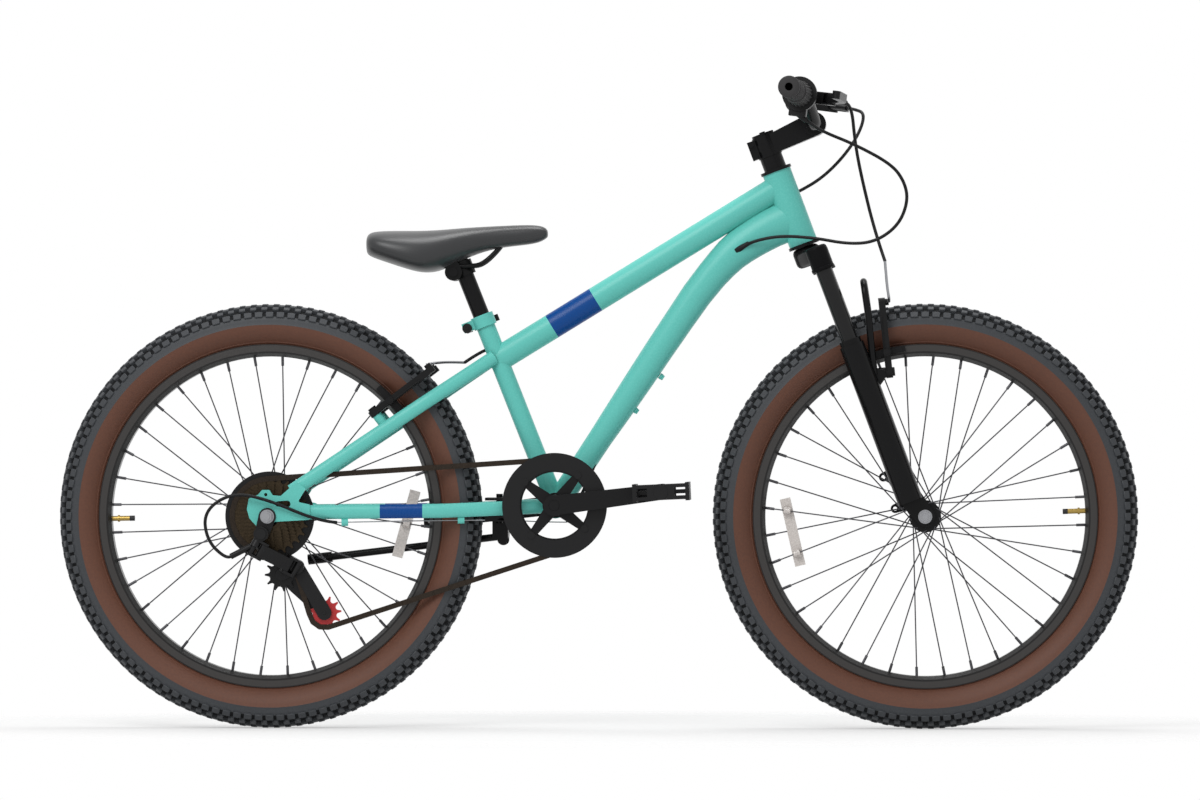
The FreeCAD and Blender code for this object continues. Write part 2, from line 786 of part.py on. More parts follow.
def derailleur_knuckle():
    near, near_inner, far, far_inner = link_pins()
    web_a = (far[0] + 13, far[1] + 3)
    web_b = (far_inner[0] + 13, far_inner[1])
    hold = placed(ears(far, far_inner, web_a, web_b, 4.0), links)
    barrel = cross_rod(cage_pivot, -first_cog - 20, -first_cog - 7.6, 11.0)
    pin = cross_rod(cage_pivot, -first_cog - 20, -first_cog - 6.2, 4.0)
    sweep_room = placed(plan_bar(link_pins()[3], 4.4, link_pins()[1], 4.4, -link_half - gap, link_half + gap), links)
    outer_room = placed(plan_bar(link_pins()[2], 5.8, link_pins()[0], 5.8, -link_half - gap, link_half + gap), links)
    rooms = []
    for shape, at in ((sweep_room, far_inner), (outer_room, far)):
        pivot = links.multVec(V(at[0], at[1], 0))
        for turn in (0, -12, -24, -36):
            copy = shape.copy()
            copy.rotate(pivot, link_axis, turn)
            rooms.append(copy)
    pins = [rod(links.multVec(V(p[0], p[1], -12)), links.multVec(V(p[0], p[1], 12)), 2.0) for p in (far, far_inner)]
    return hold.fuse(barrel).cut(rooms).fuse(pins + [pin])


def derailleur_cage():
    y_out = -first_cog - 6
    outer = side_bar(cage_pivot, 10.0, tension_centre, 11.0, y_out - 1.3, y_out)
    outer = outer.fuse(side_bar(cage_pivot, 10.0, guide_centre, 9.0, y_out - 1.3, y_out))
    outer = outer.cut(cross_rod(cage_pivot, y_out - 3, y_out + 3, 4.0 + running))
    inner = side_bar(guide_centre, 10.0, tension_centre, 11.0, 6 - first_cog, 7.3 - first_cog)
    made = outer
    for centre in (guide_centre, tension_centre):
        made = made.fuse(cross_rod(centre, y_out - 2.4, 7.3 - first_cog, 2.5))
    return made.fuse(inner)


# Frame


def seat_point(along, forward=0.0, y=0.0):
    return seat.multVec(V(forward, y, along))


def steer_point(forward, up, y=0.0):
    return steer.multVec(V(forward, y, up))


top_tube_start = seat_point(top_tube_low)
top_tube_end = steer_point(0, top_tube_high)


def down_tube_axis():
    """Points of the down tube's bent centre line, straight from the bracket and level into the head tube."""
    low = bracket - V(down_tube_setback, 0, 0)
    knee = steer_point(-86, down_tube_height + 10.5)
    return low, knee, steer_point(0, down_tube_height)


def down_tube_rings(shrink):
    path = path_of(down_tube_axis(), 300.0, 0.75)
    count = 12
    rings = []
    points = path.discretize(count)
    for i, at in enumerate(points):
        before = points[max(i - 1, 0)]
        after = points[min(i + 1, count - 1)]
        share = min(1.0, max(0.0, (i / (count - 1) - 0.6) / 0.3))
        radius = down_tube_small + (down_tube_large - down_tube_small) * share - shrink
        rings.append(Part.Wire(Part.makeCircle(radius, at, after - before)))
    return Part.makeLoft(rings, True, False)


def head_tube():
    return sleeve(steer_point(0, 0), steer_point(0, head_tube_length), head_tube_radius, head_tube_radius - tube_wall)


def seat_rod(radius, low, high):
    return rod(seat_point(low), seat_point(high), radius)


def shell_rod(radius):
    return cross_rod(bracket, -shell_width / 2, shell_width / 2, radius)


def head_rod():
    return rod(steer_point(0, -1), steer_point(0, head_tube_length + 1), head_tube_radius)


def top_tube(cable_room):
    body = sleeve(top_tube_start, top_tube_end, top_tube_radius, top_tube_radius - tube_wall)
    body = body.cut([head_rod(), seat_rod(seat_tube_radius, 0, seat_tube_length), cable_room])
    return max(body.Solids, key=lambda s: s.Volume)


def bottle_points():
    """The two boss positions on the underside of the down tube, and the way out of them."""
    low, knee, head = down_tube_axis()
    along = unit(knee - low)
    out = along.cross(ACROSS) * -1
    out = out if out.z < 0 else out * -1
    first = low + along * 190.0 + out * (down_tube_small + 0.2)
    return first, first + along * bottle_spacing, out


def down_tube(cable_room):
    body = down_tube_rings(0).cut(down_tube_rings(tube_wall))
    top = rod(top_tube_start, top_tube_end, top_tube_radius)
    body = body.cut([head_rod(), shell_rod(shell_radius), seat_rod(seat_tube_radius, 0, 120), top, cable_room])
    body = max(body.Solids, key=lambda s: s.Volume)
    made = [body]
    low, high, out = bottle_points()
    for at in (low, high):
        body = body.cut(rod(at - out * 6, at + out * 6, 3.2))
        made.append(rod(at - out * 4, at + out * 2.2, 2.9).fuse(rod(at + out * 1.6, at + out * 5, 4.6)))
    made[0] = body
    return Part.Compound(made)


def seat_tube():
    shell = cross_sleeve(bracket, -shell_width / 2, shell_width / 2, shell_radius, cartridge_radius + running)
    tube = sleeve(seat_point(0), seat_point(seat_tube_length), seat_tube_radius, seatpost_radius + running)
    return Part.Compound([tube.cut(shell_rod(shell_radius)), shell])


def chainstay_points():
    end = rear_axle + V(36, 0, 6)
    y_end = -(rear_hub_width / 2) - 1 + stay_width / 2 - 2
    return [
        V(end.x, y_end, end.z),
        V(rear_axle.x + 262, -stay_spread, end.z + 2.5),
        V(bracket.x - 86, -40, bracket.z - 5),
        V(bracket.x - 6, -24, bracket.z - 1),
    ]


def stay_ends():
    """The seat stays' side line: its low end over the axle and its top on the seat tube."""
    return rear_axle + V(36, 0, 38.0), seat_point(seat_tube_length - seatstay_drop)


def seatstay_points():
    low, high = stay_ends()
    slope = (high.z - low.z) / (high.x - low.x)
    y_end = -(rear_hub_width / 2) - 1 + stay_width / 2 - 2
    middle = rear_axle.x + 236
    return [
        V(low.x, y_end, low.z),
        V(middle, 3 - stay_spread, low.z + slope * (middle - low.x)),
        V(high.x - 4, -15, high.z - 4 * slope),
    ]


def dropout():
    """The right dropout plate, its slot open downward and a threaded eyelet above the axle."""
    inner = -rear_hub_width / 2
    shape = [(64, -5), (11, -8), (6, -13), (-7, -13), (-16, -15), (-27, -3), (-31, 11), (-28, 27), (-14, 33)]
    shape += [(-8, 40), (3, 40), (8, 32), (20, 31), (44, 52), (58, 42), (46, 22), (64, 18)]
    points = [(rear_axle.x + x, rear_axle.z + z) for x, z in shape]
    plate = side_plate(points, inner - dropout_thick, inner)
    upright = [e for e in plate.Edges if abs(abs(e.tangentAt(e.FirstParameter).y) - 1) < 1e-6]
    plate = plate.makeFillet(2.2, upright)
    slot_half = axle_radius + 0.1
    slot = block(-slot_half, slot_half, inner - 10, inner + 5, -30, 0)
    slot.translate(V(rear_axle.x, 0, rear_axle.z))
    window = side_bar(rear_axle + V(16, 0, 19), 4.0, rear_axle + V(30, 0, 19), 5.0, inner - 10, inner + 5)
    holes = [slot, window, cross_rod(rear_axle, inner - 10, inner + 5, slot_half)]
    holes.append(cross_rod(rear_axle + V(-2.4, 0, 33), inner - 10, inner + 5, eyelet_bore))
    return plate.cut(holes)


def brake_frame(axle, angle, lean, forward):
    """A placement at a brake pivot: local Z up the arm, local X along the boss away from the frame."""
    at = on_circle(axle, brake_radius, angle)
    up = V(math.sin(math.radians(lean)), 0, math.cos(math.radians(lean)))
    out = V(up.z, 0, -up.x)
    if not forward:
        out = out * -1
    return frame_at(at, out, up)


front_brake = brake_frame(front_axle, front_brake_angle, -front_brake_tilt, True)


def rear_brake_place():
    """The rear pivots stand a boss height over the stays, at the brake radius from the axle."""
    low, high = stay_ends()
    way = unit(high - low)
    start = low + V(-way.z, 0, way.x) * boss_height - rear_axle
    along = start.dot(way)
    far = math.sqrt(along * along - start.dot(start) + brake_radius * brake_radius) - along
    spot = start + way * far
    angle = math.degrees(math.atan2(spot.z, spot.x))
    lean = 90 - math.degrees(math.atan2(way.z, way.x)) - rear_arm_lean
    return brake_frame(rear_axle, angle, lean, False)


rear_brake = rear_brake_place()


def brake_boss(frame, side, depth):
    """A boss and its stud in a brake frame."""
    y = side * boss_spread
    boss = rod(V(-depth, y, 0), V(-arm_thick / 2 - gap, y, 0), 7.5)
    stud = rod(V(-depth, y, 0), V(arm_thick / 2 - gap, y, 0), stud_radius)
    return placed(boss.fuse(stud), frame)


def rear_triangle():
    inner = -rear_hub_width / 2
    frame_cut = [shell_rod(shell_radius), seat_rod(seat_tube_radius, 0, seat_tube_length)]
    frame_cut.append(rod(top_tube_start, top_tube_end, top_tube_radius))
    drop = dropout()
    low_stay = hollow_stay(chainstay_points(), stay_height, stay_width, 220.0).cut(frame_cut)
    low_stay = max(low_stay.Solids, key=lambda s: s.Volume)
    high_stay = hollow_stay(seatstay_points(), seatstay_height, stay_width, 120.0).cut(frame_cut)
    high_stay = max(high_stay.Solids, key=lambda s: s.Volume)
    boss = brake_boss(rear_brake, 1, 26.0)
    half = drop.fuse([low_stay, high_stay, boss])
    for name, line, share in (("low", chainstay_points(), 1), ("high", seatstay_points(), 1)):
        span = line[share + 1] - line[share]
        at = line[share] + span * (0.86 if name == "low" else 0.42)
        bridge = rod(V(at.x, at.y + 2, at.z), V(at.x, 0, at.z), 6.5)
        half = half.fuse(bridge)
    whole = half.fuse(mirrored(half))
    wire = shift_points()[1]
    for share in (0.23, 0.95):
        at = wire[-2] + (wire[-1] - wire[-2]) * share
        along = unit(wire[-1] - wire[-2])
        stop = rod(at - along * 5, at + along * 5, 5.8)
        whole = whole.fuse(stop)
    return whole.cut(pipe(wire, wire_radius + 0.4, 30.0)).removeSplitter()


def headset():
    lower = sleeve(steer_point(0, 0.5), steer_point(0, 9), head_tube_radius - tube_wall - 0.02, steerer_radius + running)
    upper = sleeve(steer_point(0, head_tube_length - 9), steer_point(0, head_tube_length - 0.5),
                   head_tube_radius - tube_wall - 0.02, steerer_radius + running)
    cap = sleeve(steer_point(0, head_tube_length + 0.1), steer_point(0, head_tube_length + 4.5),
                 head_tube_radius + 2, steerer_radius + running)
    cup = sleeve(steer_point(0, -4.5), steer_point(0, -0.1), head_tube_radius + 2, steerer_radius + running)
    return Part.Compound([lower, upper, cap, cup])


def bottom_bracket_cartridge():
    body = cross_sleeve(bracket, -shell_width / 2, shell_width / 2, cartridge_radius, spindle_radius + running)
    flange = cross_sleeve(bracket, -shell_width / 2 - 3, -shell_width / 2 - 0.05, cartridge_radius + 2,
                          spindle_radius + running)
    ring = cross_sleeve(bracket, shell_width / 2 + 0.05, shell_width / 2 + 3, cartridge_radius + 2,
                        spindle_radius + running)
    return Part.Compound([body, flange, ring])


# Seat
collar_low = seat_tube_length - 17
collar_high = seat_tube_length + 1.5
collar_radius = seat_tube_radius + 3.4
skewer_back = -26.5
skewer_height = seat_tube_length - 9.5
lever_side = 27.0


def seat_collar():
    ring = rod(V(0, 0, collar_low), V(0, 0, collar_high), collar_radius)
    lugs = block(-33, -10, -9, 9, collar_low + 2, collar_high - 2)
    collar = ring.fuse(lugs)
    collar = collar.cut(rod(V(0, 0, collar_low - 1), V(0, 0, collar_high - 1), seat_tube_radius + 0.1))
    collar = collar.cut(rod(V(0, 0, collar_low - 1), V(0, 0, collar_high + 1), seatpost_radius + 0.25))
    collar = collar.cut(block(-40, -10, -1, 1, collar_low - 1, collar_high + 1))
    skewer_line = (V(skewer_back, -20, skewer_height), V(skewer_back, 20, skewer_height))
    collar = collar.cut(rod(skewer_line[0], skewer_line[1], 2.6))
    skewer = rod(V(skewer_back, -18, skewer_height), V(skewer_back, lever_side - 6.4, skewer_height), 2.5)
    nut = rod(V(skewer_back, -17, skewer_height), V(skewer_back, -9.2, skewer_height), 7.4)
    seat_washer = rod(V(skewer_back, 9.2, skewer_height), V(skewer_back, lever_side - 6.6, skewer_height), 6.5)
    cam = rod(V(skewer_back, lever_side, skewer_height - 6.5), V(skewer_back, lever_side, skewer_height - 5.3), 4.5)
    cam = cam.fuse(rod(V(skewer_back, lever_side, skewer_height - 6.5),
                       V(skewer_back, lever_side, skewer_height + 6.5), 2.5))
    stirrup = block(skewer_back - 3, skewer_back + 3, lever_side - 7.6, lever_side + 2,
                    skewer_height - 6.5, skewer_height - 5.3)
    return placed(Part.Compound([collar, skewer.fuse([nut, seat_washer, stirrup, cam])]), seat)


def seat_qr_lever():
    low = skewer_height - 5
    blade = plan_bar((skewer_back, lever_side), 6.0, (18.0, lever_side - 0.5), 4.5, low, low + 10)
    blade = blade.cut(rod(V(skewer_back, lever_side, low - 1), V(skewer_back, lever_side, low + 11), 2.5 + running))
    return placed(blade, seat)


post_top = seat_tube_length + post_show
clamp_spot = seat_point(post_top - 19, -14.0)


def seatpost():
    low = seat_point(post_top - post_length)
    post = sleeve(low, seat_point(post_top), seatpost_radius, seatpost_radius - 2)
    cap = rod(seat_point(post_top - 1.5), seat_point(post_top + 1.5), seatpost_radius)
    ring = sleeve(seat_point(post_top - 30), seat_point(post_top - 8), seatpost_radius + 4, seatpost_radius)
    made = post.fuse([cap, ring])
    lug = rod(V(clamp_spot.x, -14, clamp_spot.z), V(clamp_spot.x, 14, clamp_spot.z), 10.0)
    made = made.fuse(lug.cut(rod(low, seat_point(post_top), seatpost_radius - 1)))
    made = made.cut(cross_rod(clamp_spot, -40, 40, 4.1))
    parts = [made]
    rail_z = clamp_spot.z + 9
    for side in (-1, 1):
        cheek = side_bar(V(clamp_spot.x, 0, clamp_spot.z), 13.0, V(clamp_spot.x, 0, rail_z), 9.0, 14.3, 27.5)
        cheek = cheek.cut(rod(V(clamp_spot.x - 30, rail_spread, rail_z), V(clamp_spot.x + 30, rail_spread, rail_z),
                              rail_radius + 0.1))
        cheek = cheek.cut(cross_rod(clamp_spot, 10, 40, 4.1))
        parts.append(cheek if side > 0 else mirrored(cheek))
    bolt = cross_rod(clamp_spot, -32, 32, 4.0)
    for side in (-1, 1):
        ends = sorted((side * 27.8, side * 32.0))
        bolt = bolt.fuse(cross_rod(clamp_spot, ends[0], ends[1], 7.0))
    parts.append(bolt)
    return Part.Compound(parts)


saddle_top = clamp_spot.z + 66.0
saddle_tail = clamp_spot.x - 132.0


def saddle_sections():
    """Sections of the saddle from tail to nose: share of the length, half width, top, side and bottom heights."""
    return (
        (0.0, 0.62, -17, -22, -30),
        (0.05, 0.92, -10, -20, -42),
        (0.2, 1.0, -9, -20, -58),
        (0.38, 0.85, -8, -20, -67),
        (0.56, 0.5, -5, -17, -53),
        (0.74, 0.32, -2, -13, -32),
        (0.93, 0.25, 0, -9, -25),
        (1.0, 0.12, -7, -12, -18),
    )


def saddle_wire(share, wide, top, side, bottom, room=0.0):
    x = saddle_tail + saddle_length * share
    half = saddle_width / 2 * wide - room
    crown = saddle_top + top - 2.5 * room
    edge = saddle_top + side - 2 * room
    under = saddle_top + bottom
    points = [(half, edge), (-half, edge), (-0.78 * half, under), (0.78 * half, under)]
    arcs = {0: (0, crown), 1: (-0.97 * half, (edge + under) / 2), 3: (0.97 * half, (edge + under) / 2)}
    return outline(points, arcs, lambda p: V(x, p[0], p[1]))


def saddle():
    body = Part.makeLoft([saddle_wire(*s) for s in saddle_sections()], True, False)
    hollow = []
    for share, half, roof in ((0.09, 38, -36), (0.2, 52, -36), (0.38, 43, -36), (0.54, 30, -36), (0.64, 20, -36)):
        x = saddle_tail + saddle_length * share
        points = [(half, saddle_top + roof), (-half, saddle_top + roof), (-half, saddle_top - 90), (half, saddle_top - 90)]
        hollow.append(outline(points, {}, lambda p: V(x, p[0], p[1])))
    return body.cut(Part.makeLoft(hollow, True, True))


def saddle_rails():
    level = clamp_spot.z + 9
    roof = saddle_top - 36
    made = []
    for side in (-1, 1):
        y = side * rail_spread
        points = [
            V(saddle_tail + 30, side * 30, roof - rail_radius - gap),
            V(saddle_tail + 45, side * 27, roof - 10),
            V(clamp_spot.x - 45, y, level),
            V(clamp_spot.x + 24, y, level),
            V(saddle_tail + 0.7 * saddle_length, side * 12, saddle_top - 40.5),
        ]
        made.append(pipe(points, rail_radius, 30.0))
    return Part.Compound(made)


# Fork, stem and bar


def fork_crown():
    steerer = rod(V(0, 0, -crown_hub_drop + 2), V(0, 0, head_tube_length + stack_height + stem_height), steerer_radius)
    crown = rod(V(0, 0, -crown_hub_drop), V(0, 0, -4.8), 21.0)
    for side in (-1, 1):
        leg = (leg_offset, side * leg_spacing)
        crown = crown.fuse(plan_bar((0, 0), 20.0, leg, stanchion_radius + 4, -crown_hub_drop - 4, -11.5))
        crown = crown.fuse(rod(V(leg[0], leg[1], -crown_drop), V(leg[0], leg[1], -11.5), stanchion_radius + 4))
    steerer = steerer.cut(rod(V(0, 0, -100), V(0, 0, 500), steerer_radius - 2.5))
    made = [crown.cut(rod(V(0, 0, -crown_hub_drop + 2), V(0, 0, 0), steerer_radius)).removeSplitter(), steerer]
    for side in (-1, 1):
        at = V(leg_offset, side * leg_spacing, 0)
        made[0] = made[0].cut(rod(at + V(0, 0, -crown_drop - 1), at + V(0, 0, -18), stanchion_radius))
        made.append(sleeve(at + V(0, 0, -leg_top - 131), at + V(0, 0, -18), stanchion_radius, stanchion_radius - 2))
    return placed(Part.Compound(made), steer)


def fork_leg(side):
    at = V(leg_offset, side * leg_spacing, 0)
    leg = rod(at + V(0, 0, -leg_bottom), at + V(0, 0, -leg_top), leg_radius)
    leg = leg.cut(rod(at + V(0, 0, -leg_top - 190), at + V(0, 0, -leg_top + 1), stanchion_radius + running))
    wiper = rod(at + V(0, 0, -leg_top), at + V(0, 0, -leg_top + 8), leg_radius - 2.5)
    wiper = wiper.cut(rod(at + V(0, 0, -leg_top - 1), at + V(0, 0, -leg_top + 9), stanchion_radius + running))
    return leg.fuse(wiper)


def fork_dropout(side):
    inner = front_hub_width / 2
    y = sorted((side * inner, side * (inner + dropout_thick + 1)))
    axle = V(fork_rake, 0, -fork_length)
    plate = side_bar(V(leg_offset, 0, -leg_bottom + 12), 17.0, axle, 15.0, y[0], y[1])
    slot_half = axle_radius + 0.1
    return plate.cut([cross_rod(axle, y[0] - 1, y[1] + 1, slot_half),
                      block(axle.x - slot_half, axle.x + slot_half, y[0] - 1, y[1] + 1, axle.z - 30, axle.z)])


arch_top = (65.0, -86.0)


def disc_tabs():
    """Two tabs behind the left leg, bored along Y."""
    made = []
    for z in (-fork_length + 77.0, -fork_length + 77.0 - disc_spacing):
        eye = V(-11.0, 0, z)
        tab = side_bar(eye, 6.8, V(leg_offset - 6, 0, z), 9.0, leg_spacing - 7, leg_spacing - 1)
        made.append((tab, cross_rod(eye, leg_spacing - 12, leg_spacing + 4, disc_bore)))
    return made


def fork_lowers():
    pivot = steer.inverse().multVec(on_circle(front_axle, brake_radius, front_brake_angle))
    body = fork_leg(-1).fuse(fork_leg(1))
    shapes = []
    for side in (-1, 1):
        shapes.append(fork_dropout(side))
        y = sorted((side * (boss_spread - 7.5), side * (boss_spread + 14)))
        shapes.append(side_bar(V(leg_offset + 4, 0, pivot.z), 20.0, V(pivot.x - 14, 0, pivot.z), 8.5, y[0], y[1]))
    arch = [
        V(leg_offset + 16, -leg_spacing + 2, pivot.z + 4),
        V(leg_offset + 38, -leg_spacing + 2, pivot.z + 86),
        V(arch_top[0], -leg_spacing + 8, arch_top[1]),
        V(arch_top[0], leg_spacing - 8, arch_top[1]),
        V(leg_offset + 38, leg_spacing - 2, pivot.z + 86),
        V(leg_offset + 16, leg_spacing - 2, pivot.z + 4),
    ]
    shapes.append(pipe(arch, 5.2, 22.0))
    shapes += [tab for tab, hole in disc_tabs()]
    body = body.fuse(shapes)
    for side in (-1, 1):
        at = V(leg_offset, side * leg_spacing, 0)
        body = body.cut(rod(at + V(0, 0, -leg_top - 190), at + V(0, 0, -leg_top + 9), stanchion_radius + running))
    body = body.cut([hole for tab, hole in disc_tabs()])
    body = placed(body, steer)
    return body.fuse([brake_boss(front_brake, side, 20.0) for side in (-1, 1)])


stem_low = head_tube_length + stack_height
bar_spot = V(stem_reach, 0, stem_rise)
bar_centre = steer.multVec(bar_spot)


def stem():
    high = stem_low + stem_height
    body = rod(V(0, 0, stem_low), V(0, 0, high), 18.5)
    body = body.fuse(side_bar(V(6, 0, stem_low + stem_height / 2), 15.0, bar_spot, 18.0, -16, 16))
    body = body.fuse(block(-27, -8, -11, 11, stem_low + 2, high - 2))
    body = body.fuse(rod(bar_spot - ACROSS * 23, bar_spot + ACROSS * 23, 18.0))
    body = body.cut(rod(V(0, 0, stem_low - 1), V(0, 0, high + 1), steerer_radius + running))
    body = body.cut(rod(bar_spot - ACROSS * 30, bar_spot + ACROSS * 30, bar_clamp + running))
    body = body.cut(block(-40, -10, -1, 1, stem_low - 1, high + 1))
    made = [body]
    for z in (stem_low + 7, high - 7):
        body = body.cut(rod(V(-22, -12, z), V(-22, 12, z), 3.1))
        made.append(rod(V(-22, -11.2, z), V(-22, 11, z), 3.0).fuse(rod(V(-22, -16, z), V(-22, -11.2, z), 4.6)))
    made[0] = body
    steps = 2
    spacer_low = head_tube_length + 4.7
    tall = (stem_low - 0.1 - spacer_low) / steps
    for i in range(steps):
        z = spacer_low + i * tall
        made.append(sleeve(V(0, 0, z), V(0, 0, z + tall - 0.1), 17.2, steerer_radius + running))
    cap = rod(V(0, 0, high + 0.2), V(0, 0, high + 3.5), 17.0)
    made.append(cap.fuse(rod(V(0, 0, high + 3.5), V(0, 0, high + 6), 4.5)))
    return placed(Part.Compound(made), steer)


def bar_points(side):
    """The bar's centre line from the stem out to one end."""
    c = bar_centre
    return [
        c,
        c + V(0, side * 42, 0),
        c + V(-12, side * 105, bar_rise - 9),
        c + V(-bar_sweep, side * bar_half_width, bar_rise),
    ]


def handlebar():
    right = list(reversed(bar_points(-1)))
    tube = pipe(right[:-1] + bar_points(1)[1:], bar_radius, 45.0)
    inside = pipe(right[:-1] + bar_points(1)[1:], bar_radius - 2.2, 45.0)
    swell = rod(bar_centre - ACROSS * 33, bar_centre + ACROSS * 33, bar_clamp)
    swell = swell.cut(rod(bar_centre - ACROSS * 34, bar_centre + ACROSS * 34, bar_radius - 1))
    return tube.fuse(swell).cut(inside)


bar_out = unit(bar_points(-1)[3] - bar_points(-1)[2])
lever_way = V(1, 0, -0.13)
bar_forward = unit(lever_way - bar_out * bar_out.dot(lever_way))
bar_up = bar_out.cross(bar_forward)
bar_end = bar_points(-1)[3]


def bar_frame(inboard):
    """A placement on the right-hand bar, inboard of its end: local X outward, Y forward, Z up."""
    return frame_at(bar_end - bar_out * inboard, bar_out, bar_up)


def right_sleeve(inboard_from, inboard_to, outer, inner):
    return sleeve(bar_end - bar_out * inboard_from, bar_end - bar_out * inboard_to, outer, inner)


short_grip = 74.0
twist_grip = 48.0
long_grip = 124.0
housing_width = 20.0
perch_spot = 168.0


def grips():
    right = right_sleeve(short_grip, -3, grip_radius, bar_radius + running)
    right = right.fuse(rod(bar_end + bar_out * 0.5, bar_end + bar_out * 3, grip_radius - 1))
    left = mirrored(right_sleeve(long_grip, -3, grip_radius, bar_radius + running))
    stop = mirrored(rod(bar_end + bar_out * 0.5, bar_end + bar_out * 3, grip_radius - 1))
    return Part.Compound([right, left.fuse(stop)])


def shifter_twist_grip():
    near = short_grip + 1
    far = near + twist_grip
    body = Part.makeCone(grip_radius + 0.5, grip_radius + 4, twist_grip, bar_end - bar_out * near, bar_out * -1)
    return body.cut(rod(bar_end - bar_out * (near - 1), bar_end - bar_out * (far + 1), bar_radius + running))


housing_from = short_grip + 1 + twist_grip + 0.5


def shifter_housing():
    far = housing_from + housing_width
    body = right_sleeve(housing_from, housing_from + 9, 26.0, bar_radius + running)
    body = body.fuse(right_sleeve(housing_from, far, 18.5, bar_radius + running))
    frame = bar_frame(far)
    nose = placed(rod(V(9, -6, -26), V(2, 13, -37), 4.2), frame)
    box = placed(block(2, housing_width - 4, -13, 13, -33, -8), frame)
    bore = rod(bar_end - bar_out * (housing_from - 5), bar_end - bar_out * (far + 5), bar_radius + running)
    return body.fuse([box, nose]).cut(bore)


def shift_mouth():
    """Where the shift cable leaves its housing, and the direction out."""
    frame = bar_frame(housing_from + housing_width)
    start = frame.multVec(V(2, 13, -37))
    return start, unit(start - frame.multVec(V(9, -6, -26)))


pivot_out = 6.0
pivot_forward = 42.0


def brake_perch():
    """The right-hand perch in its bar frame: clamp, ears, pivot pin and cable barrel."""
    body = rod(V(-7, 0, 0), V(7, 0, 0), 15.5)
    body = body.fuse(plan_bar((-1, 12), 7.0, (pivot_out - 2, pivot_forward), 9.0, -9, 9))
    body = body.cut(rod(V(-8, 0, 0), V(8, 0, 0), bar_radius + running))
    room = plan_bar((pivot_out, pivot_forward), 10.5, (pivot_out + 60, pivot_forward + 14), 14.0, -6.3, 6.3)
    body = body.cut(room)
    body = body.fuse(rod(V(pivot_out, pivot_forward, -9), V(pivot_out, pivot_forward, 9), 2.5))
    barrel = rod(V(-2, pivot_forward - 6, 0), V(-40, pivot_forward + 18, 0), 4.5)
    return body.fuse(barrel.cut(room))


def brake_mouth():
    """Where the right brake cable leaves its barrel, and the direction out."""
    frame = bar_frame(perch_spot)
    start = frame.multVec(V(-40, pivot_forward + 18, 0))
    return start, unit(start - frame.multVec(V(-2, pivot_forward - 6, 0)))


def brake_perches():
    right = placed(brake_perch(), bar_frame(perch_spot))
    return Part.Compound([right, mirrored(right)])


def brake_lever():
    """The right-hand lever blade in its bar frame."""
    line = ((pivot_out, pivot_forward, 7.0), (24, pivot_forward + 18, 6.0), (56, pivot_forward + 26, 5.0),
            (112, pivot_forward + 22, 6.0))
    pieces = []
    for a, b in zip(line, line[1:]):
        pieces.append(plan_bar(a[:2], a[2], b[:2], b[2], -6, 6))
    body = pieces[0].fuse(pieces[1:])
    body = body.cut(rod(V(pivot_out, pivot_forward, -9), V(pivot_out, pivot_forward, 9), 2.5 + running))
    return body.removeSplitter()


def brake_lever_right():
    return placed(brake_lever(), bar_frame(perch_spot))


# Brake arms


def brake_arm(frame, side, axle, anchor):
    """One arm with its pad in a brake frame: a cable anchor on one side and a cradle on the other."""
    y = side * boss_spread
    top = (side * (boss_spread + 4), arm_length)
    half = arm_thick / 2
    arm = front_bar((y, 0), 9.0, top, 6.0, -half, half)
    arm = arm.cut(rod(V(-20, y, 0), V(20, y, 0), stud_radius + running))
    pad_spot = frame.multVec(V(0, 0, pad_height))
    radial = unit(V(pad_spot.x - axle.x, 0, pad_spot.z - axle.z))
    local = frame.inverse().Rotation.multVec(radial)
    lean = math.degrees(math.atan2(local.x, local.z))
    near = rim_width / 2 + pad_clearance
    y0 = sorted((side * near, side * (near + 9)))
    pad = block(-28, 28, y0[0], y0[1], -4.5, 4.5)
    y1 = sorted((side * (near + 9), side * (near + 12)))
    pad = pad.fuse(block(-23, 23, y1[0], y1[1], -4, 4))
    pad.rotate(V(0, 0, 0), ACROSS, lean)
    pad.translate(V(0, 0, pad_height))
    reach = boss_spread + 18
    bolt = rod(V(0, side * (near + 12), pad_height), V(0, side * reach, pad_height), 3.0)
    nut = rod(V(0, side * (boss_spread + 10.2), pad_height), V(0, side * (reach - 1), pad_height), 5.5)
    arm = arm.cut(rod(V(0, side * (near + 8), pad_height), V(0, side * reach, pad_height), 3.1))
    made = [arm, pad.fuse([bolt, nut])]
    made.append(rod(V(half + 0.1, y, 0), V(half + 3.5, y, 0), 6.5))
    spring = rod(V(-3, side * (boss_spread + 9.7), 3), V(-3, side * (boss_spread + 11.2), 84), 0.9)
    made[0] = made[0].fuse([spring, rod(V(-3, side * (boss_spread + 4), 80), V(-3, side * (boss_spread + 12), 80), 1.5)])
    if anchor:
        made[0] = made[0].fuse(rod(V(half - 1, top[0], top[1]), V(half + 5, top[0], top[1]), 5.0))
    else:
        made[0] = made[0].fuse(rod(V(half - 1, top[0], top[1]), V(half + 3, top[0], top[1]), 4.0))
    return placed(Part.Compound(made), frame)


# Cables


def front_brake_cable():
    start, out = brake_mouth()
    crest = front_brake.multVec(V(9, -boss_spread - 4, arm_length))
    housing = [
        start,
        start + out * 14,
        steer_point(126, 113, -55),
        steer_point(117, 61, -36),
        steer_point(107, -23, -38),
        crest + V(-4, -7, 60),
    ]
    noodle = [crest + V(-4, -7, 60), crest + V(-1, -9, 22), crest + V(2, -8, 5), crest + V(2, 8, 0), crest + V(2, 22, 0)]
    wire = [crest + V(2, 22, 0), front_brake.multVec(V(11, boss_spread + 2, arm_length))]
    return Part.Compound([pipe(housing, cable_radius, 45.0), pipe(noodle, 2.1, 12.0), rod(wire[0], wire[1], wire_radius)])


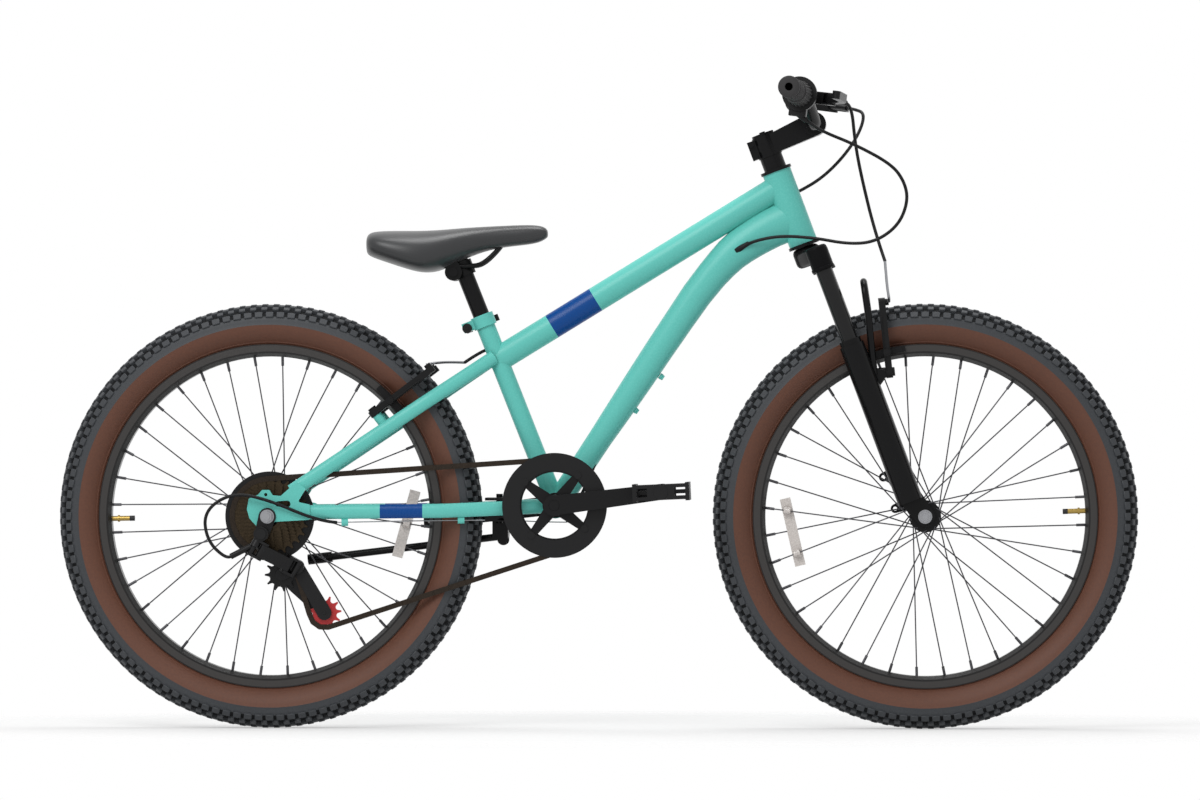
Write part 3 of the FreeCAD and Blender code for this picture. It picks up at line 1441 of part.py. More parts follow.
def rear_cable_points():
    start, out = brake_mouth()
    start = V(start.x, -start.y, start.z)
    out = V(out.x, -out.y, out.z)
    along = unit(top_tube_end - top_tube_start)
    full = (top_tube_end - top_tube_start).Length
    crest = rear_brake.multVec(V(11.5, -boss_spread - 4, arm_length))
    left = seat_tube_radius + cable_radius + 2
    return [
        start,
        start + out * 16,
        steer_point(158, 153, 66),
        steer_point(126, 117, 52),
        steer_point(69, 86, 42),
        steer_point(16, 76, 36),
        steer_point(-22, 77, 31),
        top_tube_start + along * (full - 52) + V(0, top_tube_radius + 1, -3),
        top_tube_start + along * (full - 110) + V(0, 4, 0),
        top_tube_start + along * 130 + V(0, 4, 0),
        top_tube_start + along * 72 + V(0, top_tube_radius + 1, 0),
        top_tube_start + along * 30 + V(0, top_tube_radius + cable_radius + 2, 0),
        seat_point(top_tube_low + 24, -4, left + 3),
        V(rear_axle.x + 292, 24, crest.z + 2),
    ], crest


def rear_brake_cable():
    points, crest = rear_cable_points()
    end = points[-1]
    noodle = [end, V(rear_axle.x + 266, 42, crest.z + 3), crest + V(2, 8, 1), crest + V(0, -8, 0), crest + V(0, -22, 0)]
    wire = [crest + V(0, -22, 0), rear_brake.multVec(V(11, boss_spread + 2, arm_length))]
    return Part.Compound([pipe(points, cable_radius, 55.0), pipe(noodle, 2.1, 10.0), rod(wire[0], wire[1], wire_radius)])


def shift_points():
    """The shift cable's line: looped housing into the down tube, out under it, then along the chainstay."""
    start, out = shift_mouth()
    low, knee, head = down_tube_axis()
    along = unit(knee - low)
    under = along.cross(ACROSS)
    under = under if under.z < 0 else under * -1
    entry = steer_point(-92, down_tube_height - 7, -down_tube_large - 1)
    front = [
        start,
        start + out * 9,
        steer_point(88, 142, -138),
        steer_point(125, 109, -120),
        steer_point(166, 63, -95),
        steer_point(175, 32, -85),
        steer_point(170, 3, -78),
        steer_point(144, -26, -68),
        steer_point(103, -37, -58),
        steer_point(64, -26, -50),
        steer_point(18, 2, -40),
        steer_point(-29, 23, -34),
        steer_point(-70, down_tube_height - 5, -29),
        entry,
        low + along * 330 + V(0, -6, 0),
        low + along * 130 + V(0, -6, 0),
        low + along * 84 + under * (down_tube_small + 5) + V(0, -6, 0),
        low + V(24, -8, -shell_radius - 6),
    ]
    stay = chainstay_points()
    drop = V(0, 0, -stay_height / 2 - 5)
    stop = stay[0] + (stay[1] - stay[0]) * 0.3 + drop
    wire = [front[-1], low + V(-16, -12, -shell_radius - 6), stay[2] + drop, stop]
    mouth, way = barrel_mouth()
    face = -rear_hub_width / 2 - dropout_thick
    loop = [
        stop,
        stop + V(-26, -17, 2),
        rear_axle + V(-2, face - 9, 27),
        rear_axle + V(-54, face - 11, 36),
        rear_axle + V(-95, face - 13, 8),
        rear_axle + V(-90, face - 14, -36),
        mouth + way * 8,
        mouth,
    ]
    return front, wire, loop


def shift_cable():
    front, wire, loop = shift_points()
    made = [pipe(front, cable_radius, 48.0), pipe(wire, wire_radius, 30.0), pipe(loop, cable_radius, 34.0)]
    return Part.Compound(made)


def cable_room(points, bend):
    return pipe(points, cable_radius + 0.6, bend)


# Kickstand
stand_pivot = V(bracket.x - 82, 43, bracket.z - 48)
stand_rest = unit(V(-0.99, 0.045, -0.12))
stand_down = unit(V(0.1, 0.43, -0.897))
stand_axis = unit(stand_rest.cross(stand_down))


def kickstand_bracket():
    x0 = bracket.x - 106
    x1 = bracket.x - 66
    level = chainstay_points()[2].z
    top = block(x0, x1, -38, 38, level + stay_height / 2 + 1.2, level + stay_height / 2 + 5.5)
    foot = block(x0, x1, -38, 34, level - stay_height / 2 - 9, level - stay_height / 2 - gap)
    hub_body = rod(stand_pivot - stand_axis * 13, stand_pivot + stand_axis * 13, 9.0)
    web = block(x0 + 8, x1 - 8, 20, 38, stand_pivot.z - 4, level - stay_height / 2 - 6)
    bolt = rod(V((x0 + x1) / 2, 0, level - stay_height / 2 - 12), V((x0 + x1) / 2, 0, level + stay_height / 2 + 11), 5.0)
    slot = rod(stand_pivot - stand_axis * 7.3, stand_pivot + stand_axis * 7.3, 60.0)
    pin = rod(stand_pivot - stand_axis * 12, stand_pivot + stand_axis * 12, 4.0)
    groove = pipe(shift_points()[1], wire_radius + 1, 30.0)
    lower = foot.fuse([web, hub_body]).cut(groove)
    return lower, top, bolt, slot, pin


def kickstand_leg():
    knuckle = rod(stand_pivot - stand_axis * 7, stand_pivot + stand_axis * 7, 9.0)
    end = stand_pivot + stand_rest * kickstand_length
    leg = rod(stand_pivot, end, kickstand_radius)
    foot = rod(end - stand_rest * 34, end + stand_rest * 3, kickstand_radius + 2.5)
    leg = leg.fuse([knuckle, foot])
    return leg.cut(rod(stand_pivot - stand_axis * 20, stand_pivot + stand_axis * 20, 4.0 + running))


def spoke_guard():
    return cross_sleeve(rear_axle, -rear_right_flange - 6.8, -rear_right_flange - 5.3, 67.5, 22.5)


def save(name, shape):
    shape.exportStep("parts/" + name + ".step")


front_line, wire_line, loop_line = shift_points()
rear_line, rear_crest = rear_cable_points()
dropout_face = rear_hub_width / 2 + dropout_thick
front_hub_end = front_hub_width / 2 - 6
rear_hub_end = rear_hub_width / 2 - 22
thread_end = first_cog + 12

save("head_tube", head_tube())
save("top_tube", top_tube(cable_room(rear_line, 55.0)))
save("down_tube", down_tube(cable_room(front_line, 48.0)))
save("seat_tube", seat_tube())
save("rear_triangle", rear_triangle())
save("headset", headset())
save("seat_collar", seat_collar())
save("seat_qr_lever", seat_qr_lever())
save("bottom_bracket_cartridge", bottom_bracket_cartridge())
save("seatpost", seatpost())
save("saddle", saddle())
save("saddle_rails", saddle_rails())
save("fork_crown", fork_crown())
save("fork_lowers", fork_lowers())
save("stem", stem())
save("handlebar", handlebar())
save("grips", grips())
save("shifter_twist_grip", shifter_twist_grip())
save("shifter_housing", shifter_housing())
save("brake_perches", brake_perches())
save("brake_lever_right", brake_lever_right())
save("brake_lever_left", mirrored(brake_lever_right()))
save("front_brake_arm_right", brake_arm(front_brake, -1, front_axle, False))
save("front_brake_arm_left", brake_arm(front_brake, 1, front_axle, True))
save("rear_brake_arm_right", brake_arm(rear_brake, 1, rear_axle, True))
save("rear_brake_arm_left", brake_arm(rear_brake, -1, rear_axle, False))
save("front_brake_cable", front_brake_cable())
save("rear_brake_cable", rear_brake_cable())
save("shift_cable", shift_cable())
save("front_tyre", tyre(front_axle))
save("front_inner_tube", inner_tube(front_axle, front_valve_angle))
save("front_rim", rim(front_axle, front_valve_angle))
save("front_spokes", spokes(front_axle, front_flange, front_flange, front_valve_angle))
save("front_hub", hub(front_axle, front_flange, front_flange, front_hub_end, front_hub_end, False))
save("front_axle", axle_set(front_axle, (front_hub_end, front_hub_end), front_hub_width,
                            (front_hub_width / 2 + dropout_thick + 1, front_hub_width / 2 + dropout_thick + 1)))
save("front_reflector", reflector(front_axle, *front_reflector_spot, front_flange, front_flange, front_valve_angle))
save("rear_tyre", tyre(rear_axle))
save("rear_inner_tube", inner_tube(rear_axle, rear_valve_angle))
save("rear_rim", rim(rear_axle, rear_valve_angle))
save("rear_spokes", spokes(rear_axle, rear_left_flange, rear_right_flange, rear_valve_angle))
save("rear_hub", hub(rear_axle, rear_left_flange, rear_right_flange, rear_hub_end, thread_end, True))
save("rear_axle", axle_set(rear_axle, (rear_hub_end, first_cog + 6 * cog_step + 3), rear_hub_width,
                           (dropout_face, dropout_face + 3)))
save("rear_reflector", reflector(rear_axle, *rear_reflector_spot, rear_left_flange, rear_right_flange, rear_valve_angle))
save("spoke_guard", spoke_guard())
save("freewheel", freewheel())
save("chain", chain())
save("chainring", chainring())
save("chain_guard", chain_guard())
save("crank_arms", crank_arms())
save("pedal_right", pedal(-1))
save("pedal_left", pedal(1))
save("derailleur_mount", derailleur_mount())
save("derailleur_outer_link", derailleur_link(False))
save("derailleur_inner_link", derailleur_link(True))
save("derailleur_knuckle", derailleur_knuckle())
save("derailleur_cage", derailleur_cage())
save("upper_pulley", pulley(guide_centre, 3))
save("lower_pulley", pulley(tension_centre, 2))
lower, top, bolt, slot, pin = kickstand_bracket()
save("kickstand_bracket", Part.Compound([lower.cut(slot).fuse(pin), top, bolt]))
save("kickstand_leg", kickstand_leg())
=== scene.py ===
import math

import bmesh
import bpy
from mathutils import Matrix, Vector


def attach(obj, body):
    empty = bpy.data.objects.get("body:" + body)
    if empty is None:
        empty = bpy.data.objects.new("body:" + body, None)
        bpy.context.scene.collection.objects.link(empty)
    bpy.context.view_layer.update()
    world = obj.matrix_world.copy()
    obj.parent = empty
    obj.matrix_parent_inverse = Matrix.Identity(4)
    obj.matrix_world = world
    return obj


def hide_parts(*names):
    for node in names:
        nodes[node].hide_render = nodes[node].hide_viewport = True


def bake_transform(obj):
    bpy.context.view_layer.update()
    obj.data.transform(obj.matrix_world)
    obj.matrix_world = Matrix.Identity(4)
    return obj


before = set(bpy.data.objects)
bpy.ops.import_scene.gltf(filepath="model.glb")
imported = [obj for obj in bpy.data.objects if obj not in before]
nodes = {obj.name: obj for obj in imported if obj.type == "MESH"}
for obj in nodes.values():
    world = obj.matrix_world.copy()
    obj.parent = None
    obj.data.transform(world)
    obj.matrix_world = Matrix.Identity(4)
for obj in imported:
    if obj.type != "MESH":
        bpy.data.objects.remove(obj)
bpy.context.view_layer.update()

# Main frame: mitred aluminium tubes, welded, then sprayed with a mint enamel under a clear coat.
# Two plain blue bands are sprayed over the mint, one round the top tube and one on the chain stays.


def linear(colour):
    """A written sRGB colour as the linear one that a shader takes."""
    parts = [int(colour[i:i + 2], 16) / 255 for i in (1, 3, 5)]
    return [p / 12.92 if p <= 0.04045 else ((p + 0.055) / 1.055) ** 2.4 for p in parts] + [1.0]


def add(material, kind, settings):
    """Adds a node: a setting is an attribute, an input's value, or a node or socket to link to an input."""
    node = material.node_tree.nodes.new("ShaderNode" + kind)
    for key, value in settings.items():
        if isinstance(key, str) and hasattr(node, key):
            setattr(node, key, value)
            continue
        if isinstance(value, bpy.types.Node):
            value = value.outputs[0]
        if isinstance(value, bpy.types.NodeSocket):
            material.node_tree.links.new(value, node.inputs[key])
        else:
            node.inputs[key].default_value = value
    return node


def begin(name, settings):
    """A material with its shader's plain values set, and the piece's own coordinates."""
    material = bpy.data.materials.new(name)
    material.use_nodes = True
    shader = material.node_tree.nodes["Principled BSDF"]
    for key, value in settings.items():
        shader.inputs[key].default_value = value
    place = add(material, "TexCoord", {}).outputs["Object"]
    return material, shader, place


def vary(material, shader, place, light, dark, grain, rough, depth):
    """Mottles colour and roughness at the grain's size in metres, and raises a bump of depth metres."""
    noise = add(material, "TexNoise", {"Vector": place, "Scale": 1 / grain, "Detail": 4.0, "Roughness": 0.6})
    shade = add(material, "Mix", {"data_type": "RGBA", 0: noise, 6: linear(dark), 7: linear(light)})
    spread = add(material, "MapRange", {"Value": noise, "To Min": rough[0], "To Max": rough[1]})
    bump = add(material, "Bump", {"Height": noise, "Distance": depth, "Strength": 0.6})
    links = material.node_tree.links
    links.new(shade.outputs[2], shader.inputs["Base Color"])
    links.new(spread.outputs[0], shader.inputs["Roughness"])
    links.new(bump.outputs[0], shader.inputs["Normal"])
    return shade.outputs[2]


def dress(material, *names):
    """Puts one material on whole CAD nodes."""
    for name in names:
        for holder in nodes[name].material_slots:
            holder.material = material


enamel_gloss = {"IOR": 1.4, "Specular IOR Level": 0.3}
mint_coat = ("#68c7bd", "#62c2b7", 0.0025, (0.22, 0.32), 0.00002)
band_blue = "#02448a"
top_start = Vector((-0.1507, 0.0, 0.5600))
top_way = Vector((0.4283, 0.0, 0.2626)).normalized()
top_band_x = (-0.070, -0.004)
stay_band_x = (-0.326, -0.262)
stay_top = 0.37
over_all = 2.0


def enamel(name, way=None, band=None, ceiling=None):
    """Sprayed enamel: an even mint with the faint orange peel of a sprayed coat.

    The blue band lies between two distances along way, on what is lower than the ceiling.
    """
    material, shader, place = begin(name, enamel_gloss)
    mint = vary(material, shader, place, *mint_coat)
    if way:
        along = add(material, "VectorMath", {"operation": "DOT_PRODUCT", 0: place, 1: way}).outputs["Value"]
        above = add(material, "Math", {"operation": "GREATER_THAN", 0: along, 1: band[0]})
        below = add(material, "Math", {"operation": "LESS_THAN", 0: along, 1: band[1]})
        height = add(material, "SeparateXYZ", {"Vector": place}).outputs["Z"]
        low = add(material, "Math", {"operation": "LESS_THAN", 0: height, 1: ceiling})
        inside = add(material, "Math", {"operation": "MULTIPLY", 0: above, 1: below})
        inside = add(material, "Math", {"operation": "MULTIPLY", 0: inside, 1: low})
        paint = add(material, "Mix", {"data_type": "RGBA", 0: inside, 6: mint, 7: linear(band_blue)})
        material.node_tree.links.new(paint.outputs[2], shader.inputs["Base Color"])
    return material


top_band = [top_way.dot(top_start + top_way * ((x - top_start.x) / top_way.x)) for x in top_band_x]
mint_enamel = enamel("mint_enamel")
dress(mint_enamel, "head_tube", "seat_tube")
top_enamel = enamel("mint_enamel_top_band", top_way, top_band, over_all)
dress(enamel("mint_enamel_stay_band", (1.0, 0.0, 0.0), stay_band_x, stay_top), "rear_triangle")

# Top tube and down tube: drawn alloy tubes, pressed to a taller oval where they swell towards the head tube.
# Their ends are cut round to sit against the tubes they are welded to, and two bottle bolts stand under the down tube.
tube_wall = 0.002
tube_sides = 48
weld_sink = 0.001
head_radius = 0.022
seat_radius = 0.0143
shell_radius = 0.0200
head_low = Vector((0.3112, 0.0, 0.7327))
steer_lean = math.radians(20.5)
steer_way = Vector((-math.sin(steer_lean), 0.0, math.cos(steer_lean)))
steer_forward = Vector((math.cos(steer_lean), 0.0, math.sin(steer_lean)))
seat_lean = math.radians(21.6)
bracket_spot = Vector((-0.0627, 0.0, 0.3378))
seat_forward = Vector((math.cos(seat_lean), 0.0, math.sin(seat_lean)))
top_line = ((-0.1500, 0.5582, 0.0193, 0.0155), (-0.0800, 0.6011, 0.0193, 0.0165), (0.2000, 0.7728, 0.0193, 0.0178),
            (0.2783, 0.8208, 0.0193, 0.0178))
down_line = ((-0.0627, 0.3378, 0.0180, 0.0180), (-0.0267, 0.3920, 0.0180, 0.0180), (0.0035, 0.4380, 0.0184, 0.0184),
             (0.0338, 0.4830, 0.0200, 0.0198), (0.0640, 0.5285, 0.0213, 0.0208), (0.0943, 0.5742, 0.0220, 0.0212),
             (0.1246, 0.6190, 0.0227, 0.0214), (0.1500, 0.6560, 0.0236, 0.0215), (0.1730, 0.6852, 0.0244, 0.0215),
             (0.1880, 0.7022, 0.0255, 0.0215), (0.2014, 0.7159, 0.0268, 0.0215), (0.2164, 0.7283, 0.0281, 0.0214),
             (0.2316, 0.7386, 0.0290, 0.0213), (0.2473, 0.7481, 0.0298, 0.0211), (0.2631, 0.7567, 0.0304, 0.0208),
             (0.2980, 0.7722, 0.0308, 0.0204))
bolt_spots = ((0.0544, 0.4828, 0.0030), (0.0911, 0.5353, 0.0052))
bolt_out = Vector((0.8196, 0.0, -0.5730))
bolt_boss = (0.0046, (-0.0020, 0.0026))
bolt_head = (0.0040, (0.0026, 0.0052))
bolt_rounding = 0.0006
sharp_angle = math.radians(38)


def new_piece(name, bm, materials, body):
    """Turns a bmesh into a shown piece that rides on a body."""
    mesh = bpy.data.meshes.new(name)
    bm.to_mesh(mesh)
    bm.free()
    for material in materials:
        mesh.materials.append(material)
    mesh.polygons.foreach_set("use_smooth", [True] * len(mesh.polygons))
    mesh.set_sharp_from_angle(angle=sharp_angle)
    piece = bpy.data.objects.new(name, mesh)
    bpy.context.scene.collection.objects.link(piece)
    if body:
        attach(piece, body)
    return piece


def skin(bm, rings):
    """Bridges each ring of vertices to the next."""
    for near, far in zip(rings, rings[1:]):
        both = {e for v in near + far for e in v.link_edges if e.is_boundary or e.is_wire}
        both = [e for e in both if all(v in near for v in e.verts) or all(v in far for v in e.verts)]
        bmesh.ops.bridge_loops(bm, edges=both)


def oval_tube(bm, line):
    """Oval rings along a line in the bike's middle plane, as (x, z, half height, half width), skinned together."""
    spots = [Vector((x, 0.0, z)) for x, z, tall, wide in line]
    rings = []
    for i, (x, z, tall, wide) in enumerate(line):
        way = (spots[min(i + 1, len(spots) - 1)] - spots[max(i - 1, 0)]).normalized()
        turn = Matrix(((0.0, -way.z * tall, way.x, x), (wide, 0.0, 0.0, 0.0), (0.0, way.x * tall, way.z, z),
                       (0.0, 0.0, 0.0, 1.0)))
        rings.append(bmesh.ops.create_circle(bm, segments=tube_sides, radius=1.0, matrix=turn)["verts"])
    skin(bm, rings)
    return rings, (spots[1] - spots[0]).normalized(), (spots[-1] - spots[-2]).normalized()


def cut_round(ring, way, origin, forward, radius, side):
    """Slides an end ring along its tube to the face of an upright tube, on the side that it comes from."""
    for v in ring:
        face = side * (math.sqrt(max(radius ** 2 - v.co.y ** 2, 0.0)) - weld_sink)
        v.co += way * ((face - (v.co - origin).dot(forward)) / way.dot(forward))


def close_tube(bm):
    """Turns a tube's skin outwards and gives it its wall."""
    bmesh.ops.recalc_face_normals(bm, faces=bm.faces)
    bmesh.ops.solidify(bm, geom=list(bm.faces), thickness=tube_wall)


def round_bar(bm, spot, wide, ends, rounding, sides, steps, finish=0):
    """A round bar along a spot's own Z, from one end's height to the other's, with both rims rounded."""
    low, high = ends
    middle = spot @ Matrix.Translation((0.0, 0.0, (low + high) / 2))
    bar = bmesh.ops.create_cone(bm, cap_ends=True, segments=sides, radius1=wide, radius2=wide, depth=high - low,
                                matrix=middle)["verts"]
    for face in {f for v in bar for f in v.link_faces}:
        face.material_index = finish
    rims = {e for v in bar for e in v.link_edges if {len(f.verts) for f in e.link_faces} == {4, sides}}
    bmesh.ops.bevel(bm, geom=list(rims), offset=rounding, segments=steps, profile=0.5, affect="EDGES", material=-1)


bm = bmesh.new()
rings, first_way, last_way = oval_tube(bm, top_line)
cut_round(rings[0], first_way, bracket_spot, seat_forward, seat_radius, 1)
cut_round(rings[-1], last_way, head_low, steer_forward, head_radius, -1)
close_tube(bm)
top_tube = new_piece("top_tube_formed", bm, [top_enamel], "frame")
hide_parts("top_tube")

bm = bmesh.new()
rings, first_way, last_way = oval_tube(bm, down_line)
for v in rings[0]:
    beside = (v.co - bracket_spot).cross(first_way).y
    v.co += first_way * (math.sqrt(shell_radius ** 2 - beside ** 2) - weld_sink)
cut_round(rings[-1], last_way, head_low, steer_forward, head_radius, -1)
close_tube(bm)
bolt_turn = bolt_out.to_track_quat("Z", "Y").to_matrix().to_4x4()
for x, z, rise in bolt_spots:
    bolt_spot = Matrix.Translation(Vector((x, 0.0, z)) + bolt_out * rise) @ bolt_turn
    for wide, ends in (bolt_boss, bolt_head):
        round_bar(bm, bolt_spot, wide, ends, bolt_rounding, 24, 2)
down_tube = new_piece("down_tube_formed", bm, [mint_enamel], "frame")
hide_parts("down_tube")

# Seat collar: a cast alloy ring sprayed with the frame, clamped by a black skewer whose nut stands on its drive side.
# One enamel serves both, with black on what lies behind the lugs' faces.
lug_behind = 0.018
lug_half = 0.0091
collar_enamel, shader, place = begin("mint_collar_black_skewer", enamel_gloss)
mint = vary(collar_enamel, shader, place, *mint_coat)
along = add(collar_enamel, "VectorMath", {"operation": "DOT_PRODUCT", 0: place, 1: seat_forward}).outputs["Value"]
lug_line = seat_forward.dot(bracket_spot) - lug_behind
behind = add(collar_enamel, "Math", {"operation": "LESS_THAN", 0: along, 1: lug_line})
width = add(collar_enamel, "SeparateXYZ", {"Vector": place}).outputs["Y"]
outside = add(collar_enamel, "Math", {"operation": "ABSOLUTE", 0: width})
outside = add(collar_enamel, "Math", {"operation": "GREATER_THAN", 0: outside, 1: lug_half})
skewer = add(collar_enamel, "Math", {"operation": "MULTIPLY", 0: behind, 1: outside})
tone = add(collar_enamel, "Mix", {"data_type": "RGBA", 0: skewer, 6: mint, 7: linear("#101011")})
collar_enamel.node_tree.links.new(tone.outputs[2], shader.inputs["Base Color"])
dress(collar_enamel, "seat_collar")

# Black metal parts: headset, stem, bar, post and stand are steel and cast alloy under gloss black enamel.
# The coat is thin and even, so what the eye gets is long soft highlights on a near-black body.


def coated(name, settings, *coat):
    """A material with one coat all over, given as vary takes it: two shades, grain, roughness and depth."""
    material, shader, place = begin(name, settings)
    vary(material, shader, place, *coat)
    return material


black_enamel = coated("gloss_black_enamel", {"IOR": 1.3, "Specular IOR Level": 0.3},
                      "#131314", "#0b0b0c", 0.003, (0.18, 0.28), 0.00004)
dress(black_enamel, "headset", "stem", "handlebar", "seatpost", "kickstand_leg",
      "kickstand_bracket", "seat_qr_lever", "bottom_bracket_cartridge", "fork_lowers")

# Fork crown: a cast alloy bridge, rounded all over and enamelled a dull black, pressed on the steerer.
# It clamps two ground steel stanchions with a satin dark grey finish, which slide in the lower legs.
crown_black = coated("dull_black_enamel", {"IOR": 1.3, "Specular IOR Level": 0.12},
                     "#151516", "#0d0d0e", 0.003, (0.36, 0.48), 0.00004)
stanchion_grey = coated("ground_dark_steel", {"IOR": 1.4, "Specular IOR Level": 0.35},
                        "#141415", "#0f0f10", 0.004, (0.14, 0.22), 0.00002)
leg_forward = 0.015
leg_half = 0.0620
crown_ends = (-0.0340, -0.0115)
crown_sides = 40
crown_rounding = 0.0060
arm_sides = 32
arm_radii = (0.0195, 0.0160)
crown_hub = (0.0210, (-0.0350, -0.0048), 0.0080)
leg_boss = (0.0167, (-0.0490, -0.0115), 0.0050)
boss_lip = (0.0178, (-0.0490, -0.0440), 0.0010)
stanchion = (0.0127, (-0.3000, -0.0180), 0.0010)
steerer = (0.0143, (-0.0280, 0.1740), 0.0010)
steer_frame = Matrix(((steer_forward.x, 0.0, steer_way.x, head_low.x), (0.0, 1.0, 0.0, 0.0),
                      (steer_forward.z, 0.0, steer_way.z, head_low.z), (0.0, 0.0, 0.0, 1.0)))
leg_spots = [Vector((leg_forward, side * leg_half, 0.0)) for side in (-1, 1)]
bm = bmesh.new()
round_bar(bm, Matrix(), *crown_hub, crown_sides, 4)
for leg_spot in leg_spots:
    rim = []
    for spot, wide in zip((Vector((0.0, 0.0, 0.0)), leg_spot), arm_radii):
        for height in crown_ends:
            flat = Matrix.Translation((spot.x, spot.y, height))
            rim += bmesh.ops.create_circle(bm, segments=arm_sides, radius=wide, matrix=flat)["verts"]
    hull = bmesh.ops.convex_hull(bm, input=rim)
    spare = [v for v in hull["geom_interior"] + hull["geom_unused"] if isinstance(v, bmesh.types.BMVert)]
    bmesh.ops.delete(bm, geom=list(set(spare)), context="VERTS")
    rim = [v for v in rim if v.is_valid]
    bmesh.ops.dissolve_limit(bm, angle_limit=math.radians(1), verts=rim,
                             edges=list({e for v in rim for e in v.link_edges}))
    rim = [v for v in rim if v.is_valid]
    sharp = {e for v in rim for e in v.link_edges if e.is_manifold and e.calc_face_angle() > math.radians(60)}
    bmesh.ops.bevel(bm, geom=list(sharp), offset=crown_rounding, segments=4, profile=0.5, affect="EDGES", material=-1)
    for bar in (leg_boss, boss_lip):
        round_bar(bm, Matrix.Translation(leg_spot), *bar, crown_sides, 4)
for leg_spot in leg_spots:
    round_bar(bm, Matrix.Translation(leg_spot), *stanchion, crown_sides, 4, finish=1)
round_bar(bm, Matrix(), *steerer, crown_sides, 4, finish=1)
bmesh.ops.transform(bm, matrix=steer_frame, verts=bm.verts)
bmesh.ops.recalc_face_normals(bm, faces=bm.faces)
crown = new_piece("crown_and_stanchions", bm, [crown_black, stanchion_grey], "steering")
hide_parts("fork_crown")

# Anodised alloy: cranks, brake arms, levers, perches and hubs are forged or cast, then anodised black.
# Anodising leaves a fine matt tooth, so highlights are broad and a little grey.
anodised = coated("black_anodised_alloy", {"IOR": 1.3, "Specular IOR Level": 0.35},
                  "#19191a", "#0f0f10", 0.0012, (0.26, 0.4), 0.00004)
dress(anodised, "crank_arms", "front_brake_arm_right", "front_brake_arm_left", "rear_brake_arm_right",
      "rear_brake_arm_left", "brake_lever_right", "brake_lever_left", "brake_perches", "front_hub", "rear_hub")

# Wheels: two double-wall rims, extruded, rolled and anodised black, with turned brake faces.
# The turning leaves fine rings about the axle, drawn here 0.8 mm apart so that they show.
brake_track = (0.2490, 0.2585)
ring_pitch = 0.0008
ring_depth = 0.00005
wheel_spots = {"front": Vector((0.495, 0.0, 0.321)), "rear": Vector((-0.495, 0.0, 0.321))}


def turned_rim(end):
    """A rim's anodising, with a paler turned track where the brake pads run."""
    material, shader, place = begin(end + "_turned_black_rim", {"Metallic": 0.5})
    dark = vary(material, shader, place, "#1c1b1b", "#131212", 0.004, (0.24, 0.36), 0.00003)
    spot = add(material, "VectorMath", {"operation": "SUBTRACT", 0: place, 1: wheel_spots[end]})
    flat = add(material, "VectorMath", {"operation": "MULTIPLY", 0: spot, 1: (1.0, 0.0, 1.0)})
    reach = add(material, "VectorMath", {"operation": "LENGTH", 0: flat}).outputs["Value"]
    turns = add(material, "Math", {"operation": "MULTIPLY", 0: reach, 1: 2 * math.pi / ring_pitch})
    rings = add(material, "Math", {"operation": "SINE", 0: turns})
    groove = add(material, "Bump", {"Height": rings, "Distance": ring_depth, "Strength": 0.5})
    past = add(material, "Math", {"operation": "GREATER_THAN", 0: reach, 1: brake_track[0]})
    short = add(material, "Math", {"operation": "LESS_THAN", 0: reach, 1: brake_track[1]})
    worn = add(material, "Math", {"operation": "MULTIPLY", 0: past, 1: short})
    track = add(material, "Mix", {"data_type": "RGBA", 0: worn, 6: dark, 7: linear("#383635")})
    material.node_tree.links.new(track.outputs[2], shader.inputs["Base Color"])
    material.node_tree.links.new(groove.outputs[0], shader.inputs["Normal"])
    return material


for end in wheel_spots:
    dress(turned_rim(end), end + "_rim")

# Spokes, axles and nuts: drawn stainless wire with a dark finish, laced from hub to rim, on plated steel axles.
# The wire shows as thin grey lines with one long glint each, and the zinc as a paler, softer grey.
spoke_wire = coated("dark_stainless_wire", {"Metallic": 1.0},
                    "#57575a", "#3d3d40", 0.002, (0.25, 0.38), 0.00002)
dress(spoke_wire, "front_spokes", "rear_spokes")
plated = coated("zinc_plated_steel", {"Metallic": 1.0},
                "#a3a4a6", "#84858a", 0.0015, (0.25, 0.4), 0.00003)
dress(plated, "front_axle", "rear_axle")

# Tyres: moulded rubber on a cord casing, with a black knobbed tread and brown sidewalls.
# The casing turns about the axle, and the knobs stand on it in eight staggered rows.
# The knobs are a dark grey rubber, the casing between them is painted near-black as painted shade in the grooves, and
# the sidewalls a dull even brown.
tread_rubber = coated("black_tread_rubber", {"Specular IOR Level": 0.35},
                      "#43464a", "#2a2c2f", 0.0018, (0.45, 0.62), 0.00012)
# The same rubber on the casing between the knobs, painted darker: painted shade in the grooves.
groove_shade = coated("painted_groove_shade", {"Specular IOR Level": 0.2},
                       "#1c1d1f", "#101112", 0.0018, (0.75, 0.9), 0.00012)
wall_rubber = coated("brown_sidewall_rubber", {"Specular IOR Level": 0.4},
                     "#69412f", "#4f3024", 0.0035, (0.5, 0.68), 0.00012)
crown_centre = 0.27011
crown_radius = 0.05089
crown_lean = 44.0
crown_steps = 5
casing_steps = 200
knob_tall = 0.0050
knob_root = 0.0016
knob_rounding = 0.0009
knob_pitches = 116
tread_rows = ((0.3207, 0.0049, 5.5, 0.0082, 0.0094, 0.5), (0.3188, 0.0145, 16.5, 0.0082, 0.0094, 0.0),
              (0.3147, 0.0243, 28.5, 0.0084, 0.0094, 0.5), (0.3052, 0.0340, 58.0, 0.0096, 0.0118, 0.0))
wall_line = ((0.2540, 0.0115), (0.2540, 0.0172), (0.2605, 0.0176), (0.2622, 0.0199), (0.2630, 0.0212),
             (0.2638, 0.0211), (0.2646, 0.0222), (0.2690, 0.0267), (0.2745, 0.0308), (0.2800, 0.0338),
             (0.2850, 0.0354), (0.2880, 0.0359), (0.2892, 0.0363), (0.2902, 0.0358), (0.2950, 0.0353),
             (0.2990, 0.0343), (0.3016, 0.0332))
inner_line = ((0.3110, 0.0), (0.3085, 0.0170), (0.3000, 0.0295), (0.2880, 0.0318), (0.2760, 0.0275),
              (0.2660, 0.0175), (0.2580, 0.0125))
